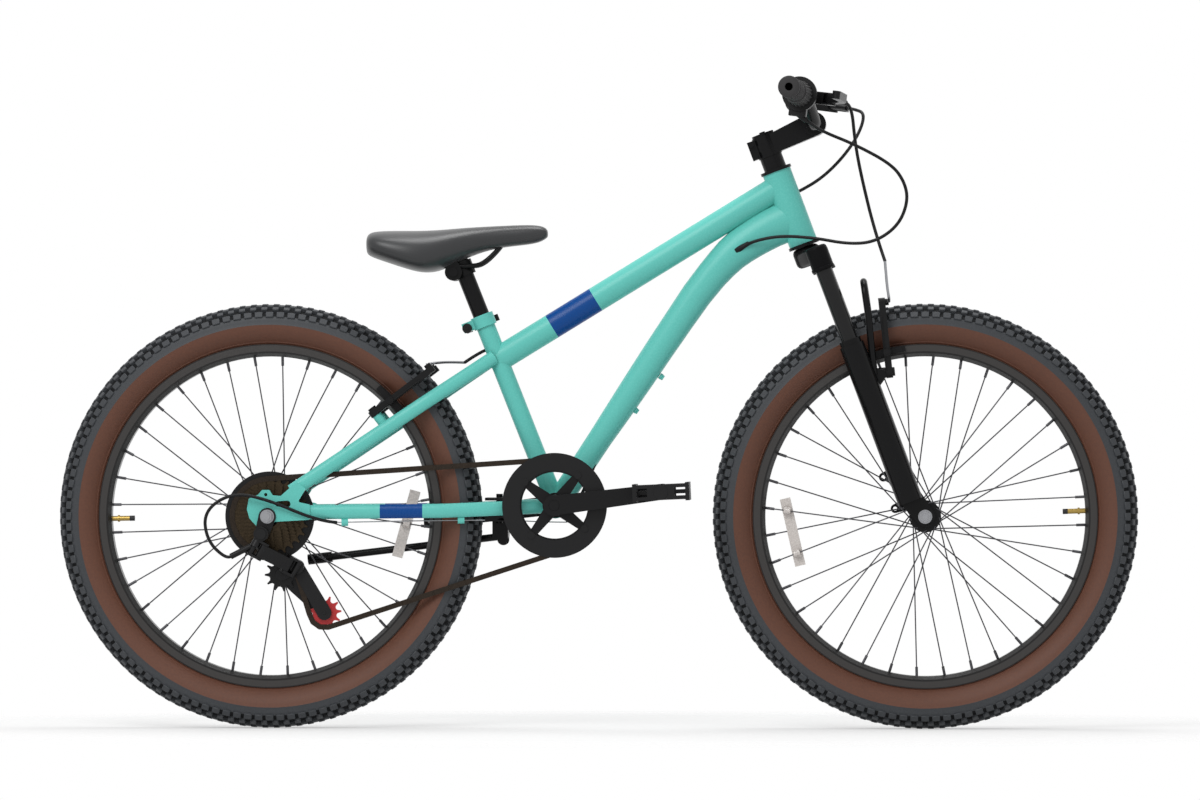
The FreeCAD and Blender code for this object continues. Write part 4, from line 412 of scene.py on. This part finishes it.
brown_edge = 0.2888
groove_edge = 0.3022
same_spot = 1e-6


def loop_of(bm, points):
    """A closed outline through the points, ready to spin."""
    verts = [bm.verts.new(p) for p in points]
    edges = [bm.edges.new((a, b)) for a, b in zip(verts, verts[1:] + verts[:1])]
    return verts + edges


def tyre(end):
    """Spins a tyre's section about its axle, then one pitch of knobs."""
    centre = wheel_spots[end]
    bm = bmesh.new()
    crown = []
    floor_radius = crown_radius - knob_tall
    for i in range(2 * crown_steps + 1):
        lean = math.radians(crown_lean * (1 - i / crown_steps))
        crown.append((crown_centre + floor_radius * math.cos(lean), floor_radius * math.sin(lean)))
    section = list(wall_line) + crown + [(r, -y) for r, y in reversed(wall_line)]
    section += [(r, -y) for r, y in reversed(inner_line)] + list(inner_line[1:])
    casing = loop_of(bm, [centre + Vector((0.0, y, r)) for r, y in section])
    bmesh.ops.spin(bm, geom=casing, cent=centre, axis=(0, 1, 0), angle=2 * math.pi, steps=casing_steps,
                   use_merge=True)
    bmesh.ops.remove_doubles(bm, verts=bm.verts, dist=same_spot)
    bmesh.ops.recalc_face_normals(bm, faces=bm.faces)
    for face in bm.faces:
        middle = face.calc_center_median() - centre
        reach = math.hypot(middle.x, middle.z)
        # Casing faces past groove_edge, between the knobs, take the painted groove shade.
        face.material_index = 1 if reach < brown_edge else 2 if reach > groove_edge else 0
    knobs = bmesh.new()
    step = 2 * math.pi / knob_pitches
    for reach, across, lean, wide, around, phase in tread_rows:
        for side in (-1, 1):
            size = Matrix.Diagonal((around, wide, knob_tall + knob_root, 1.0))
            sink = Matrix.Translation((0.0, 0.0, -(knob_tall + knob_root) / 2))
            spot = Matrix.Translation((0.0, across * side, reach)) @ Matrix.Rotation(math.radians(-lean * side), 4, "X")
            turn = Matrix.Translation(centre) @ Matrix.Rotation(step * phase, 4, "Y")
            cube = bmesh.ops.create_cube(knobs, size=1.0, matrix=turn @ spot @ sink @ size)
            edges = {e for v in cube["verts"] for e in v.link_edges}
            bmesh.ops.bevel(knobs, geom=list(edges), offset=knob_rounding, segments=1, profile=0.5, affect="EDGES",
                            material=-1)
    bmesh.ops.spin(knobs, geom=list(knobs.verts) + list(knobs.edges) + list(knobs.faces), cent=centre, axis=(0, 1, 0),
                   angle=2 * math.pi - step, steps=knob_pitches - 1, use_duplicate=True)
    bmesh.ops.recalc_face_normals(knobs, faces=knobs.faces)
    tread = bpy.data.meshes.new("tread")
    knobs.to_mesh(tread)
    knobs.free()
    bm.from_mesh(tread)
    bpy.data.meshes.remove(tread)
    piece = new_piece(end + "_tyre_dressed", bm, [tread_rubber, wall_rubber, groove_shade], end + "_wheel")
    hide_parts(end + "_tyre")


for end in wheel_spots:
    tyre(end)

# Inner tubes: butyl rings that show only as a brass valve stem with a black cap,
# standing out of the rim towards the hub.
butyl = coated("butyl_rubber", {"Specular IOR Level": 0.4},
               "#232324", "#18181a", 0.002, (0.5, 0.65), 0.00005)
brass = coated("turned_brass", {"Metallic": 1.0},
               "#b59a58", "#8f7840", 0.001, (0.28, 0.42), 0.00004)
tube_middle = 0.28755
tube_radius = 0.0266
valve_angles = {"front": 2.0, "rear": 181.0}
valve_stem = (0.2150, 0.2620, 0.0038, 1)
valve_nut = (0.2300, 0.2330, 0.0052, 1)
valve_cap = (0.2074, 0.2150, 0.0040, 0)


def inner_tube(end):
    """A butyl ring, with the stem, nut and cap of its valve in line with the axle."""
    centre = wheel_spots[end]
    bm = bmesh.new()
    ring = Matrix.Translation(centre + Vector((0.0, 0.0, tube_middle))) @ Matrix.Rotation(math.pi / 2, 4, "Y")
    circle = bmesh.ops.create_circle(bm, segments=16, radius=tube_radius, matrix=ring)
    edges = list({e for v in circle["verts"] for e in v.link_edges})
    bmesh.ops.spin(bm, geom=circle["verts"] + edges, cent=centre, axis=(0, 1, 0), angle=2 * math.pi, steps=96,
                   use_merge=True)
    bmesh.ops.remove_doubles(bm, verts=bm.verts, dist=same_spot)
    angle = math.radians(valve_angles[end])
    aim = Matrix.Translation(centre) @ Matrix.Rotation(math.pi / 2 - angle, 4, "Y")
    for low, high, wide, finish in (valve_stem, valve_nut, valve_cap):
        spot = aim @ Matrix.Translation((0.0, 0.0, (low + high) / 2))
        stem = bmesh.ops.create_cone(bm, cap_ends=True, segments=20, radius1=wide, radius2=wide, depth=high - low,
                                     matrix=spot)
        for face in {f for v in stem["verts"] for f in v.link_faces}:
            face.material_index = finish
    bmesh.ops.recalc_face_normals(bm, faces=bm.faces)
    piece = new_piece(end + "_tube_and_valve", bm, [butyl, brass], end + "_wheel")
    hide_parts(end + "_inner_tube")


for end in wheel_spots:
    inner_tube(end)

# Spoke reflectors: clear moulded plastic strips, clipped across the spokes of each wheel.
# A fine grid of prisms behind the face breaks the light up, so they look milky and faintly faceted.
prism_size = 0.0022
reflector, shader, place = begin("clear_prism_plastic", {"Roughness": 0.12, "IOR": 1.49, "Specular IOR Level": 0.7})
prisms = add(reflector, "TexVoronoi", {"Vector": place, "Scale": 1 / prism_size, "distance": "CHEBYCHEV"})
glow = add(reflector, "Mix", {"data_type": "RGBA", 0: prisms.outputs["Distance"], 6: linear("#dcd5d0"),
                              7: linear("#b5aea9")})
facet = add(reflector, "Bump", {"Height": prisms.outputs["Distance"], "Distance": 0.0004, "Strength": 0.7})
reflector.node_tree.links.new(glow.outputs[2], shader.inputs["Base Color"])
reflector.node_tree.links.new(facet.outputs[0], shader.inputs["Normal"])
dress(reflector, "front_reflector", "rear_reflector")

# Drive: pressed steel chainring, chain, sprockets and derailleur plates, oxide finished and filmed with oil.
# Oil holds dust, so the steel is brown-black, glossier on the plates than in the gaps.
oiled = coated("oiled_dark_steel", {"Metallic": 0.85},
               "#3d342c", "#1a1613", 0.0022, (0.26, 0.44), 0.00006)
dress(oiled, "chain")
oxide = coated("dark_oxide_steel", {"Metallic": 0.5, "IOR": 1.4},
               "#1e1e1f", "#131314", 0.0018, (0.3, 0.46), 0.00005)
dress(oxide, "chainring", "derailleur_cage", "derailleur_mount", "derailleur_outer_link",
      "derailleur_inner_link", "derailleur_knuckle")
# The sprockets' steel is mottled from near-black to bronze at a fine grain; the bronze flecks are painted glints.
steel_and_glints = coated("oxide_steel_with_painted_glints", {"Metallic": 0.85},
                "#4d402e", "#0c0a08", 0.0022, (0.22, 0.4), 0.00005)
dress(steel_and_glints, "freewheel")

# Moulded plastic: chain guard, spoke guard, shifter case, pedals and pulleys, moulded in nylon and screwed on.
# The mould's fine spark texture leaves the black a soft grey sheen, and the lower pulley is red.
nylon = coated("black_moulded_nylon", {"IOR": 1.35, "Specular IOR Level": 0.35},
               "#1c1c1d", "#111112", 0.0009, (0.3, 0.44), 0.00006)
dress(nylon, "chain_guard", "spoke_guard", "shifter_housing", "pedal_right", "pedal_left", "upper_pulley")
red_nylon = coated("red_moulded_nylon", {"Specular IOR Level": 0.5},
                   "#c02024", "#9a1519", 0.0012, (0.35, 0.5), 0.00006)
dress(red_nylon, "lower_pulley")

# Cables: steel wires in black plastic housing, with bent steel guide tubes at the rim brakes.
# Housing that crosses from the bar to the frame or fork curves between the two, and rides on neither body.
housing_plastic = coated("black_housing_plastic", {"IOR": 1.35, "Specular IOR Level": 0.35},
                         "#161617", "#0d0d0e", 0.0015, (0.32, 0.45), 0.00003)
housing_wide = 0.0050
noodle_wide = 0.0042
wire_wide = 0.0018


def cable(name, points, wide, material, node):
    """A tube on one smooth line with the route's points as its control points, and the points along that line."""
    curve = bpy.data.curves.new(name, "CURVE")
    curve.dimensions = "3D"
    line = curve.splines.new("NURBS")
    line.points.add(len(points) - 1)
    for spot, point in zip(line.points, points):
        spot.co = (*point, 1.0)
    line.order_u = 3
    line.use_endpoint_u = True
    line.resolution_u = 10
    drawn = bpy.data.objects.new(name + "_line", curve)
    bpy.context.scene.collection.objects.link(drawn)
    curve.bevel_resolution = 3
    curve.use_fill_caps = True
    meshes = []
    for radius in (0.0, wide / 2):
        curve.bevel_depth = radius
        bpy.context.view_layer.update()
        meshes.append(bpy.data.meshes.new_from_object(drawn.evaluated_get(bpy.context.evaluated_depsgraph_get())))
    bpy.data.objects.remove(drawn)
    bm = bmesh.new()
    bm.from_mesh(meshes[1])
    bmesh.ops.recalc_face_normals(bm, faces=bm.faces)
    piece = new_piece(name, bm, [material], None)
    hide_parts(node)
    return piece, [v.co.copy() for v in meshes[0].vertices]


def free_housing(name, points, bodies, node):
    """Housing that hangs free between two bodies and goes back into the bike."""
    piece, path = cable(name, points, housing_wide, housing_plastic, node)
    if len(bodies) > 1:
        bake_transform(piece)
    else:
        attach(piece, bodies[0])


def metal_line(name, points, wide, body, node):
    """A bent guide tube or a taut bare wire, which only rides along."""
    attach(cable(name, points, wide, plated, node)[0], body)


free_housing("front_brake_housing", (
    (0.3759, -0.1001, 0.9411), (0.3846, -0.0892, 0.9397), (0.3896, -0.0550, 0.8827), (0.3994, -0.0360, 0.8308),
    (0.4195, -0.0380, 0.7486), (0.4346, -0.0570, 0.7052)), ("steering", "lowers"),
    "front_brake_cable")
metal_line("front_brake_noodle", (
    (0.4346, -0.0570, 0.7052), (0.4376, -0.0590, 0.6672), (0.4406, -0.0580, 0.6502), (0.4406, -0.0420, 0.6452),
    (0.4406, -0.0280, 0.6452)), noodle_wide, "lowers", "front_brake_cable")
metal_line("front_brake_wire", ((0.4406, -0.0280, 0.6452), (0.4405, 0.0100, 0.6453), (0.4405, 0.0480, 0.6454)),
           wire_wide, "lowers", "front_brake_cable")
free_housing("rear_brake_housing", (
    (0.3759, 0.1001, 0.9411), (0.3858, 0.0876, 0.9395), (0.4056, 0.0660, 0.9313), (0.3882, 0.0520, 0.8864),
    (0.3457, 0.0420, 0.8374), (0.2996, 0.0360, 0.8095), (0.2636, 0.0310, 0.7971), (0.2332, 0.0184, 0.7924),
    (0.1838, 0.0040, 0.7651), (-0.0399, 0.0040, 0.6280), (-0.0893, 0.0184, 0.5977), (-0.1251, 0.0219, 0.5757),
    (-0.1632, 0.0218, 0.5809), (-0.2030, 0.0240, 0.5533)), ("steering", "frame"),
    "rear_brake_cable")
metal_line("rear_brake_noodle", (
    (-0.2030, 0.0240, 0.5533), (-0.2290, 0.0420, 0.5543), (-0.2551, 0.0580, 0.5523), (-0.2571, 0.0420, 0.5513),
    (-0.2571, 0.0280, 0.5513)), noodle_wide, "frame", "rear_brake_cable")
metal_line("rear_brake_wire", ((-0.2571, 0.0280, 0.5513), (-0.2570, -0.0100, 0.5511), (-0.2568, -0.0480, 0.5509)),
           wire_wide, "frame", "rear_brake_cable")
free_housing("shift_housing", (
    (0.3177, -0.1621, 0.9134), (0.3248, -0.1603, 0.9081), (0.3439, -0.1380, 0.8965), (0.3901, -0.1200, 0.8786),
    (0.4446, -0.0950, 0.8498), (0.4639, -0.0850, 0.8240), (0.4694, -0.0780, 0.7950), (0.4552, -0.0740, 0.7588),
    (0.4206, -0.0670, 0.7341), (0.3802, -0.0570, 0.7308), (0.3273, -0.0400, 0.7409), (0.2760, -0.0340, 0.7441),
    (0.2353, -0.0290, 0.7358), (0.2170, -0.0165, 0.7255), (0.1194, -0.0060, 0.6082), (0.0048, -0.0060, 0.4443),
    (-0.0024, -0.0060, 0.3932), (-0.0457, -0.0080, 0.3118)), ("steering", "frame"),
    "shift_cable")
grommet_spot = Vector((0.2195, -0.0212, 0.7275))
grommet_way = Vector((-0.82, 0.30, -0.48))
grommet_radii = (0.0031, 0.0050)
grommet_long = 0.024
grommet_rounding = 0.0007
bm = bmesh.new()
aim = Matrix.Translation(grommet_spot) @ grommet_way.to_track_quat("Z", "Y").to_matrix().to_4x4()
bmesh.ops.create_cone(bm, cap_ends=True, segments=28, radius1=grommet_radii[0], radius2=grommet_radii[1],
                      depth=grommet_long, matrix=aim)
bmesh.ops.bevel(bm, geom=list(bm.edges), offset=grommet_rounding, segments=2, profile=0.5, affect="EDGES",
                material=-1)
bmesh.ops.recalc_face_normals(bm, faces=bm.faces)
new_piece("shift_grommet", bm, [housing_plastic], "frame")
metal_line("shift_wire", ((-0.0457, -0.0080, 0.3118), (-0.0857, -0.0120, 0.3118), (-0.1487, -0.0400, 0.3170),
                          (-0.3912, -0.0606, 0.3120)), wire_wide, "frame", "shift_cable")
free_housing("shift_loop", (
    (-0.3912, -0.0606, 0.3120), (-0.4172, -0.0777, 0.3140), (-0.4970, -0.0815, 0.3480), (-0.5490, -0.0835, 0.3570),
    (-0.5900, -0.0855, 0.3290), (-0.5850, -0.0865, 0.2850), (-0.5561, -0.0875, 0.2574), (-0.5490, -0.0875, 0.2610)),
    ("frame",), "shift_cable")

# Grips: two moulded rubber sleeves pushed on the bar's ends, ringed with ribs that stop short of a plain cuff.
# The right one is short, because the shifter's turning grip takes the room inboard of it.
grip_rubber = coated("moulded_grip_rubber", {"Specular IOR Level": 0.35},
                     "#333233", "#232223", 0.0012, (0.6, 0.75), 0.0001)
bar_end = Vector((0.2945, -0.3000, 0.9581))
bar_out = Vector((-0.106961, -0.993206, 0.045840))
bar_up = Vector((0.128850, 0.031869, 0.991152))
rib_pitch = 0.0045
rib_start = 0.0060
rib_low = 0.0146
rib_high = 0.0157
plain_cuff = 0.016
bore = 0.0113


def bar_matrix(inboard, side):
    """A frame on the bar, inboard of its end: Z runs outward along the bar."""
    out, up = bar_out.copy(), bar_up.copy()
    spot = bar_end - bar_out * inboard
    if side > 0:
        out.y, up.y, spot.y = -out.y, -up.y, -spot.y
    cross = up.cross(out)
    return Matrix(((up.x, cross.x, out.x, spot.x), (up.y, cross.y, out.y, spot.y),
                   (up.z, cross.z, out.z, spot.z), (0.0, 0.0, 0.0, 1.0)))


def grip(name, side, length):
    """Spins a ribbed sleeve with a collar inboard and a closed end, and sets it on the bar."""
    bm = bmesh.new()
    ribs = int((length - plain_cuff) / rib_pitch)
    line = [(bore, 0.0), (0.0172, 0.0), (0.0175, 0.0012), (0.0172, 0.0040), (0.0150, 0.0052)]
    for i in range(ribs):
        start = rib_start + i * rib_pitch
        line += [(rib_low, start), (rib_high, start + 0.0009), (rib_high, start + 0.0028), (rib_low, start + 0.0036)]
    line += [(0.0150, length - 0.0040), (0.0165, length), (0.0162, length + 0.0022), (0.0140, length + 0.0034),
             (0.0060, length + 0.0030), (0.0058, length + 0.0006), (bore, length + 0.0004)]
    loop = loop_of(bm, [Vector((r, 0.0, z)) for r, z in line])
    bmesh.ops.spin(bm, geom=loop, cent=(0, 0, 0), axis=(0, 0, 1), angle=2 * math.pi, steps=40, use_merge=True)
    bmesh.ops.remove_doubles(bm, verts=bm.verts, dist=same_spot)
    bmesh.ops.transform(bm, matrix=bar_matrix(length, side), verts=bm.verts)
    bmesh.ops.recalc_face_normals(bm, faces=bm.faces)
    piece = new_piece(name, bm, [grip_rubber], "steering")
    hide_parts("grips")


grip("grip_right", -1, 0.074)
grip("grip_left", 1, 0.124)

# Shifter grip: a soft rubber sleeve, moulded over the turning barrel inboard of the right grip and flared inboard.
# Raised flutes run along it for the thumb and finger, and catch the light in stripes.
twist_near = 0.075
twist_long = 0.048
twist_radii = (0.0187, 0.0158)
flute_gap = 0.0005
flute_rise = 0.0013
bm = bmesh.new()
bmesh.ops.create_cone(bm, cap_ends=True, segments=44, radius1=twist_radii[0], radius2=twist_radii[1], depth=twist_long)
walls = [f for f in bm.faces if len(f.verts) == 4]
bmesh.ops.inset_individual(bm, faces=walls[::2], thickness=flute_gap, use_even_offset=True)
for face in walls[::2]:
    bmesh.ops.translate(bm, verts=face.verts, vec=face.normal * flute_rise)
bmesh.ops.transform(bm, matrix=bar_matrix(twist_near + twist_long / 2, -1), verts=bm.verts)
bmesh.ops.recalc_face_normals(bm, faces=bm.faces)
twist_sleeve = new_piece("twist_grip_sleeve", bm, [grip_rubber], "twist")
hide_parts("shifter_twist_grip")

# Saddle: foam on a moulded shell, under a tight synthetic leather cover with a faint pebble grain.
# The top panel runs from a broad tail to a slim nose, and its flanks fold down beside the rails.
saddle_cover = coated("pebbled_synthetic_leather", {"Sheen Weight": 0.15, "Sheen Roughness": 0.4},
                      "#2a2b2d", "#1e1f21", 0.0016, (0.32, 0.42), 0.00015)
saddle_tail = -0.3491
saddle_top = 0.7557
saddle_long = 0.274
saddle_half = 0.073
crown_power = 0.75
top_power = 0.95
flank_power = 0.45
flank_tuck = 0.2
saddle_stations = (
    (0.000, 0.56, -0.013, -0.024, -0.036), (0.012, 0.74, -0.007, -0.025, -0.041), (0.045, 0.88, -0.004, -0.027, -0.045),
    (0.120, 0.97, -0.003, -0.034, -0.052), (0.220, 1.00, -0.003, -0.043, -0.061), (0.300, 0.97, -0.003, -0.047, -0.067),
    (0.390, 0.86, -0.002, -0.042, -0.066), (0.480, 0.68, 0.000, -0.032, -0.054), (0.570, 0.50, 0.002, -0.024, -0.042),
    (0.710, 0.35, 0.004, -0.015, -0.029), (0.880, 0.29, 0.006, -0.010, -0.025), (0.955, 0.24, 0.005, -0.009, -0.021),
    (0.990, 0.17, 0.001, -0.008, -0.015), (1.000, 0.10, -0.004, -0.008, -0.012))
bm = bmesh.new()
rings = []
for share, wide, top, side, bottom in saddle_stations:
    station = Matrix.Translation((saddle_tail + saddle_long * share, 0.0, saddle_top))
    turn = station @ Matrix.Rotation(math.pi / 2, 4, "Y")
    ring = bmesh.ops.create_circle(bm, segments=28, radius=1.0, matrix=turn)["verts"]
    half = saddle_half * wide
    for v in ring:
        up, out = v.co.z - saddle_top, v.co.y
        if up >= 0:
            v.co.z = saddle_top + side + (top - side) * abs(up) ** crown_power
            v.co.y = math.copysign(half * abs(out) ** top_power, out)
        else:
            v.co.z = saddle_top + side + (bottom - side) * abs(up) ** crown_power
            v.co.y = math.copysign(half * (1 - flank_tuck * abs(up)) * abs(out) ** flank_power, out)
    rings.append(ring)
skin(bm, rings)
for ring in (rings[0], rings[-1]):
    bmesh.ops.contextual_create(bm, geom=ring)
bmesh.ops.recalc_face_normals(bm, faces=bm.faces)
saddle = new_piece("saddle_padded", bm, [saddle_cover], "seat")
smooth = saddle.modifiers.new("rounding", "SUBSURF")
smooth.levels = smooth.render_levels = 2
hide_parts("saddle")

# Saddle rails: two bent steel rods, held in the post's clamp and plugged into the saddle's shell at both ends.
# They have the gloss black enamel of the post, so each shows one thin highlight along its bend.
rail_wide = 0.0070
rail_line = ((-0.3191, 0.0300, 0.7157), (-0.3041, 0.0270, 0.7097), (-0.2621, 0.0220, 0.6987), (-0.1931, 0.0220, 0.6987),
             (-0.1750, 0.0180, 0.7010), (-0.1550, 0.0120, 0.7185), (-0.1460, 0.0100, 0.7300))
for name, side in (("rail_right", -1), ("rail_left", 1)):
    line = [(x, y * side, z) for x, y, z in rail_line]
    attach(cable(name, line, rail_wide, black_enamel, "saddle_rails")[0], "seat")

# Studio: a pale floor that keeps the shadow and fades into a white background, under broad soft lamps.
# The floor ends in nothing a wheel's width or two from the bike, so no horizon shows.
floor_reach = (1.35, 0.75)
floor_glow = 0.45
floor_half = 1.5
fade_start = 0.6
room_light = 0.6


def background_ray(owner):
    """1 for the rays that see the background: straight from the camera, off metal or through glass."""
    rays = add(owner, "LightPath", {}).outputs
    mirrored = add(owner, "Math", {"operation": "MAXIMUM", 0: rays["Is Camera Ray"], 1: rays["Is Glossy Ray"]})
    return add(owner, "Math", {"operation": "MAXIMUM", 0: mirrored, 1: rays["Is Transmission Ray"]})


floor_white, shader, place = begin("pale_floor", {"Specular IOR Level": 0.1})
vary(floor_white, shader, place, "#f4f4f4", "#f0f0f0", 0.4, (0.85, 0.95), 0.0)
share = add(floor_white, "Math", {"operation": "MULTIPLY", 0: background_ray(floor_white), 1: floor_glow})
white = add(floor_white, "Emission", {"Color": (1.0, 1.0, 1.0, 1.0)})
lit = add(floor_white, "MixShader", {0: share, 1: shader, 2: white})
oval = add(floor_white, "VectorMath", {"operation": "MULTIPLY", 0: place,
                                       1: (1 / floor_reach[0], 1 / floor_reach[1], 0.0)})
out = add(floor_white, "VectorMath", {"operation": "LENGTH", 0: oval}).outputs["Value"]
fade = add(floor_white, "MapRange", {"interpolation_type": "SMOOTHSTEP", "Value": out, "From Min": fade_start,
                                     "From Max": 1.0})
edge = add(floor_white, "MixShader", {0: fade, 1: lit, 2: add(floor_white, "BsdfTransparent", {})})
floor_white.node_tree.links.new(edge.outputs[0], floor_white.node_tree.nodes["Material Output"].inputs["Surface"])
bm = bmesh.new()
bmesh.ops.create_grid(bm, x_segments=2, y_segments=2, size=floor_half)
floor = new_piece("floor", bm, [floor_white], None)

world = bpy.data.worlds.new("studio")
bpy.context.scene.world = world
world.use_nodes = True
room = world.node_tree.nodes["Background"]
room.inputs["Color"].default_value = (1.0, 1.0, 1.0, 1.0)
room.inputs["Strength"].default_value = room_light
shown = add(world, "Background", {"Color": (1.0, 1.0, 1.0, 1.0)})
choose = add(world, "MixShader", {0: background_ray(world), 1: room, 2: shown})
world.node_tree.links.new(choose.outputs[0], world.node_tree.nodes["World Output"].inputs["Surface"])


def softbox(name, spot, aim, power, wide):
    """A square lamp that faces a point."""
    lamp = bpy.data.lights.new(name, "AREA")
    lamp.energy = power
    lamp.size = wide
    box = bpy.data.objects.new(name, lamp)
    box.location = spot
    box.rotation_euler = (Vector(aim) - Vector(spot)).to_track_quat("-Z", "Y").to_euler()
    bpy.context.scene.collection.objects.link(box)


softbox("key_softbox", (-1.2, -2.6, 2.8), (0.0, 0.0, 0.5), 58.0, 1.8)
softbox("top_softbox", (0.3, 0.4, 3.2), (0.0, 0.0, 0.3), 36.0, 1.4)

# Camera: a long lens that faces the drive side, a little forward of the middle, as the photograph was taken.
# It stands about 12 m off at half the bike's height, so that near and far sides come out almost the same size.
camera_spot = Vector((0.4935, -11.990, 0.4965))
camera_aim = Vector((0.0035, 0.0, 0.4965))
lens = bpy.data.cameras.new("camera")
lens.lens = 238.0
lens.sensor_width = 36.0
camera = bpy.data.objects.new("camera", lens)
camera.location = camera_spot
camera.rotation_euler = (camera_aim - camera_spot).to_track_quat("-Z", "Y").to_euler()
lens.clip_end = 60.0
bpy.context.scene.collection.objects.link(camera)
bpy.context.scene.camera = camera
bpy.context.scene.view_settings.view_transform = "Standard"
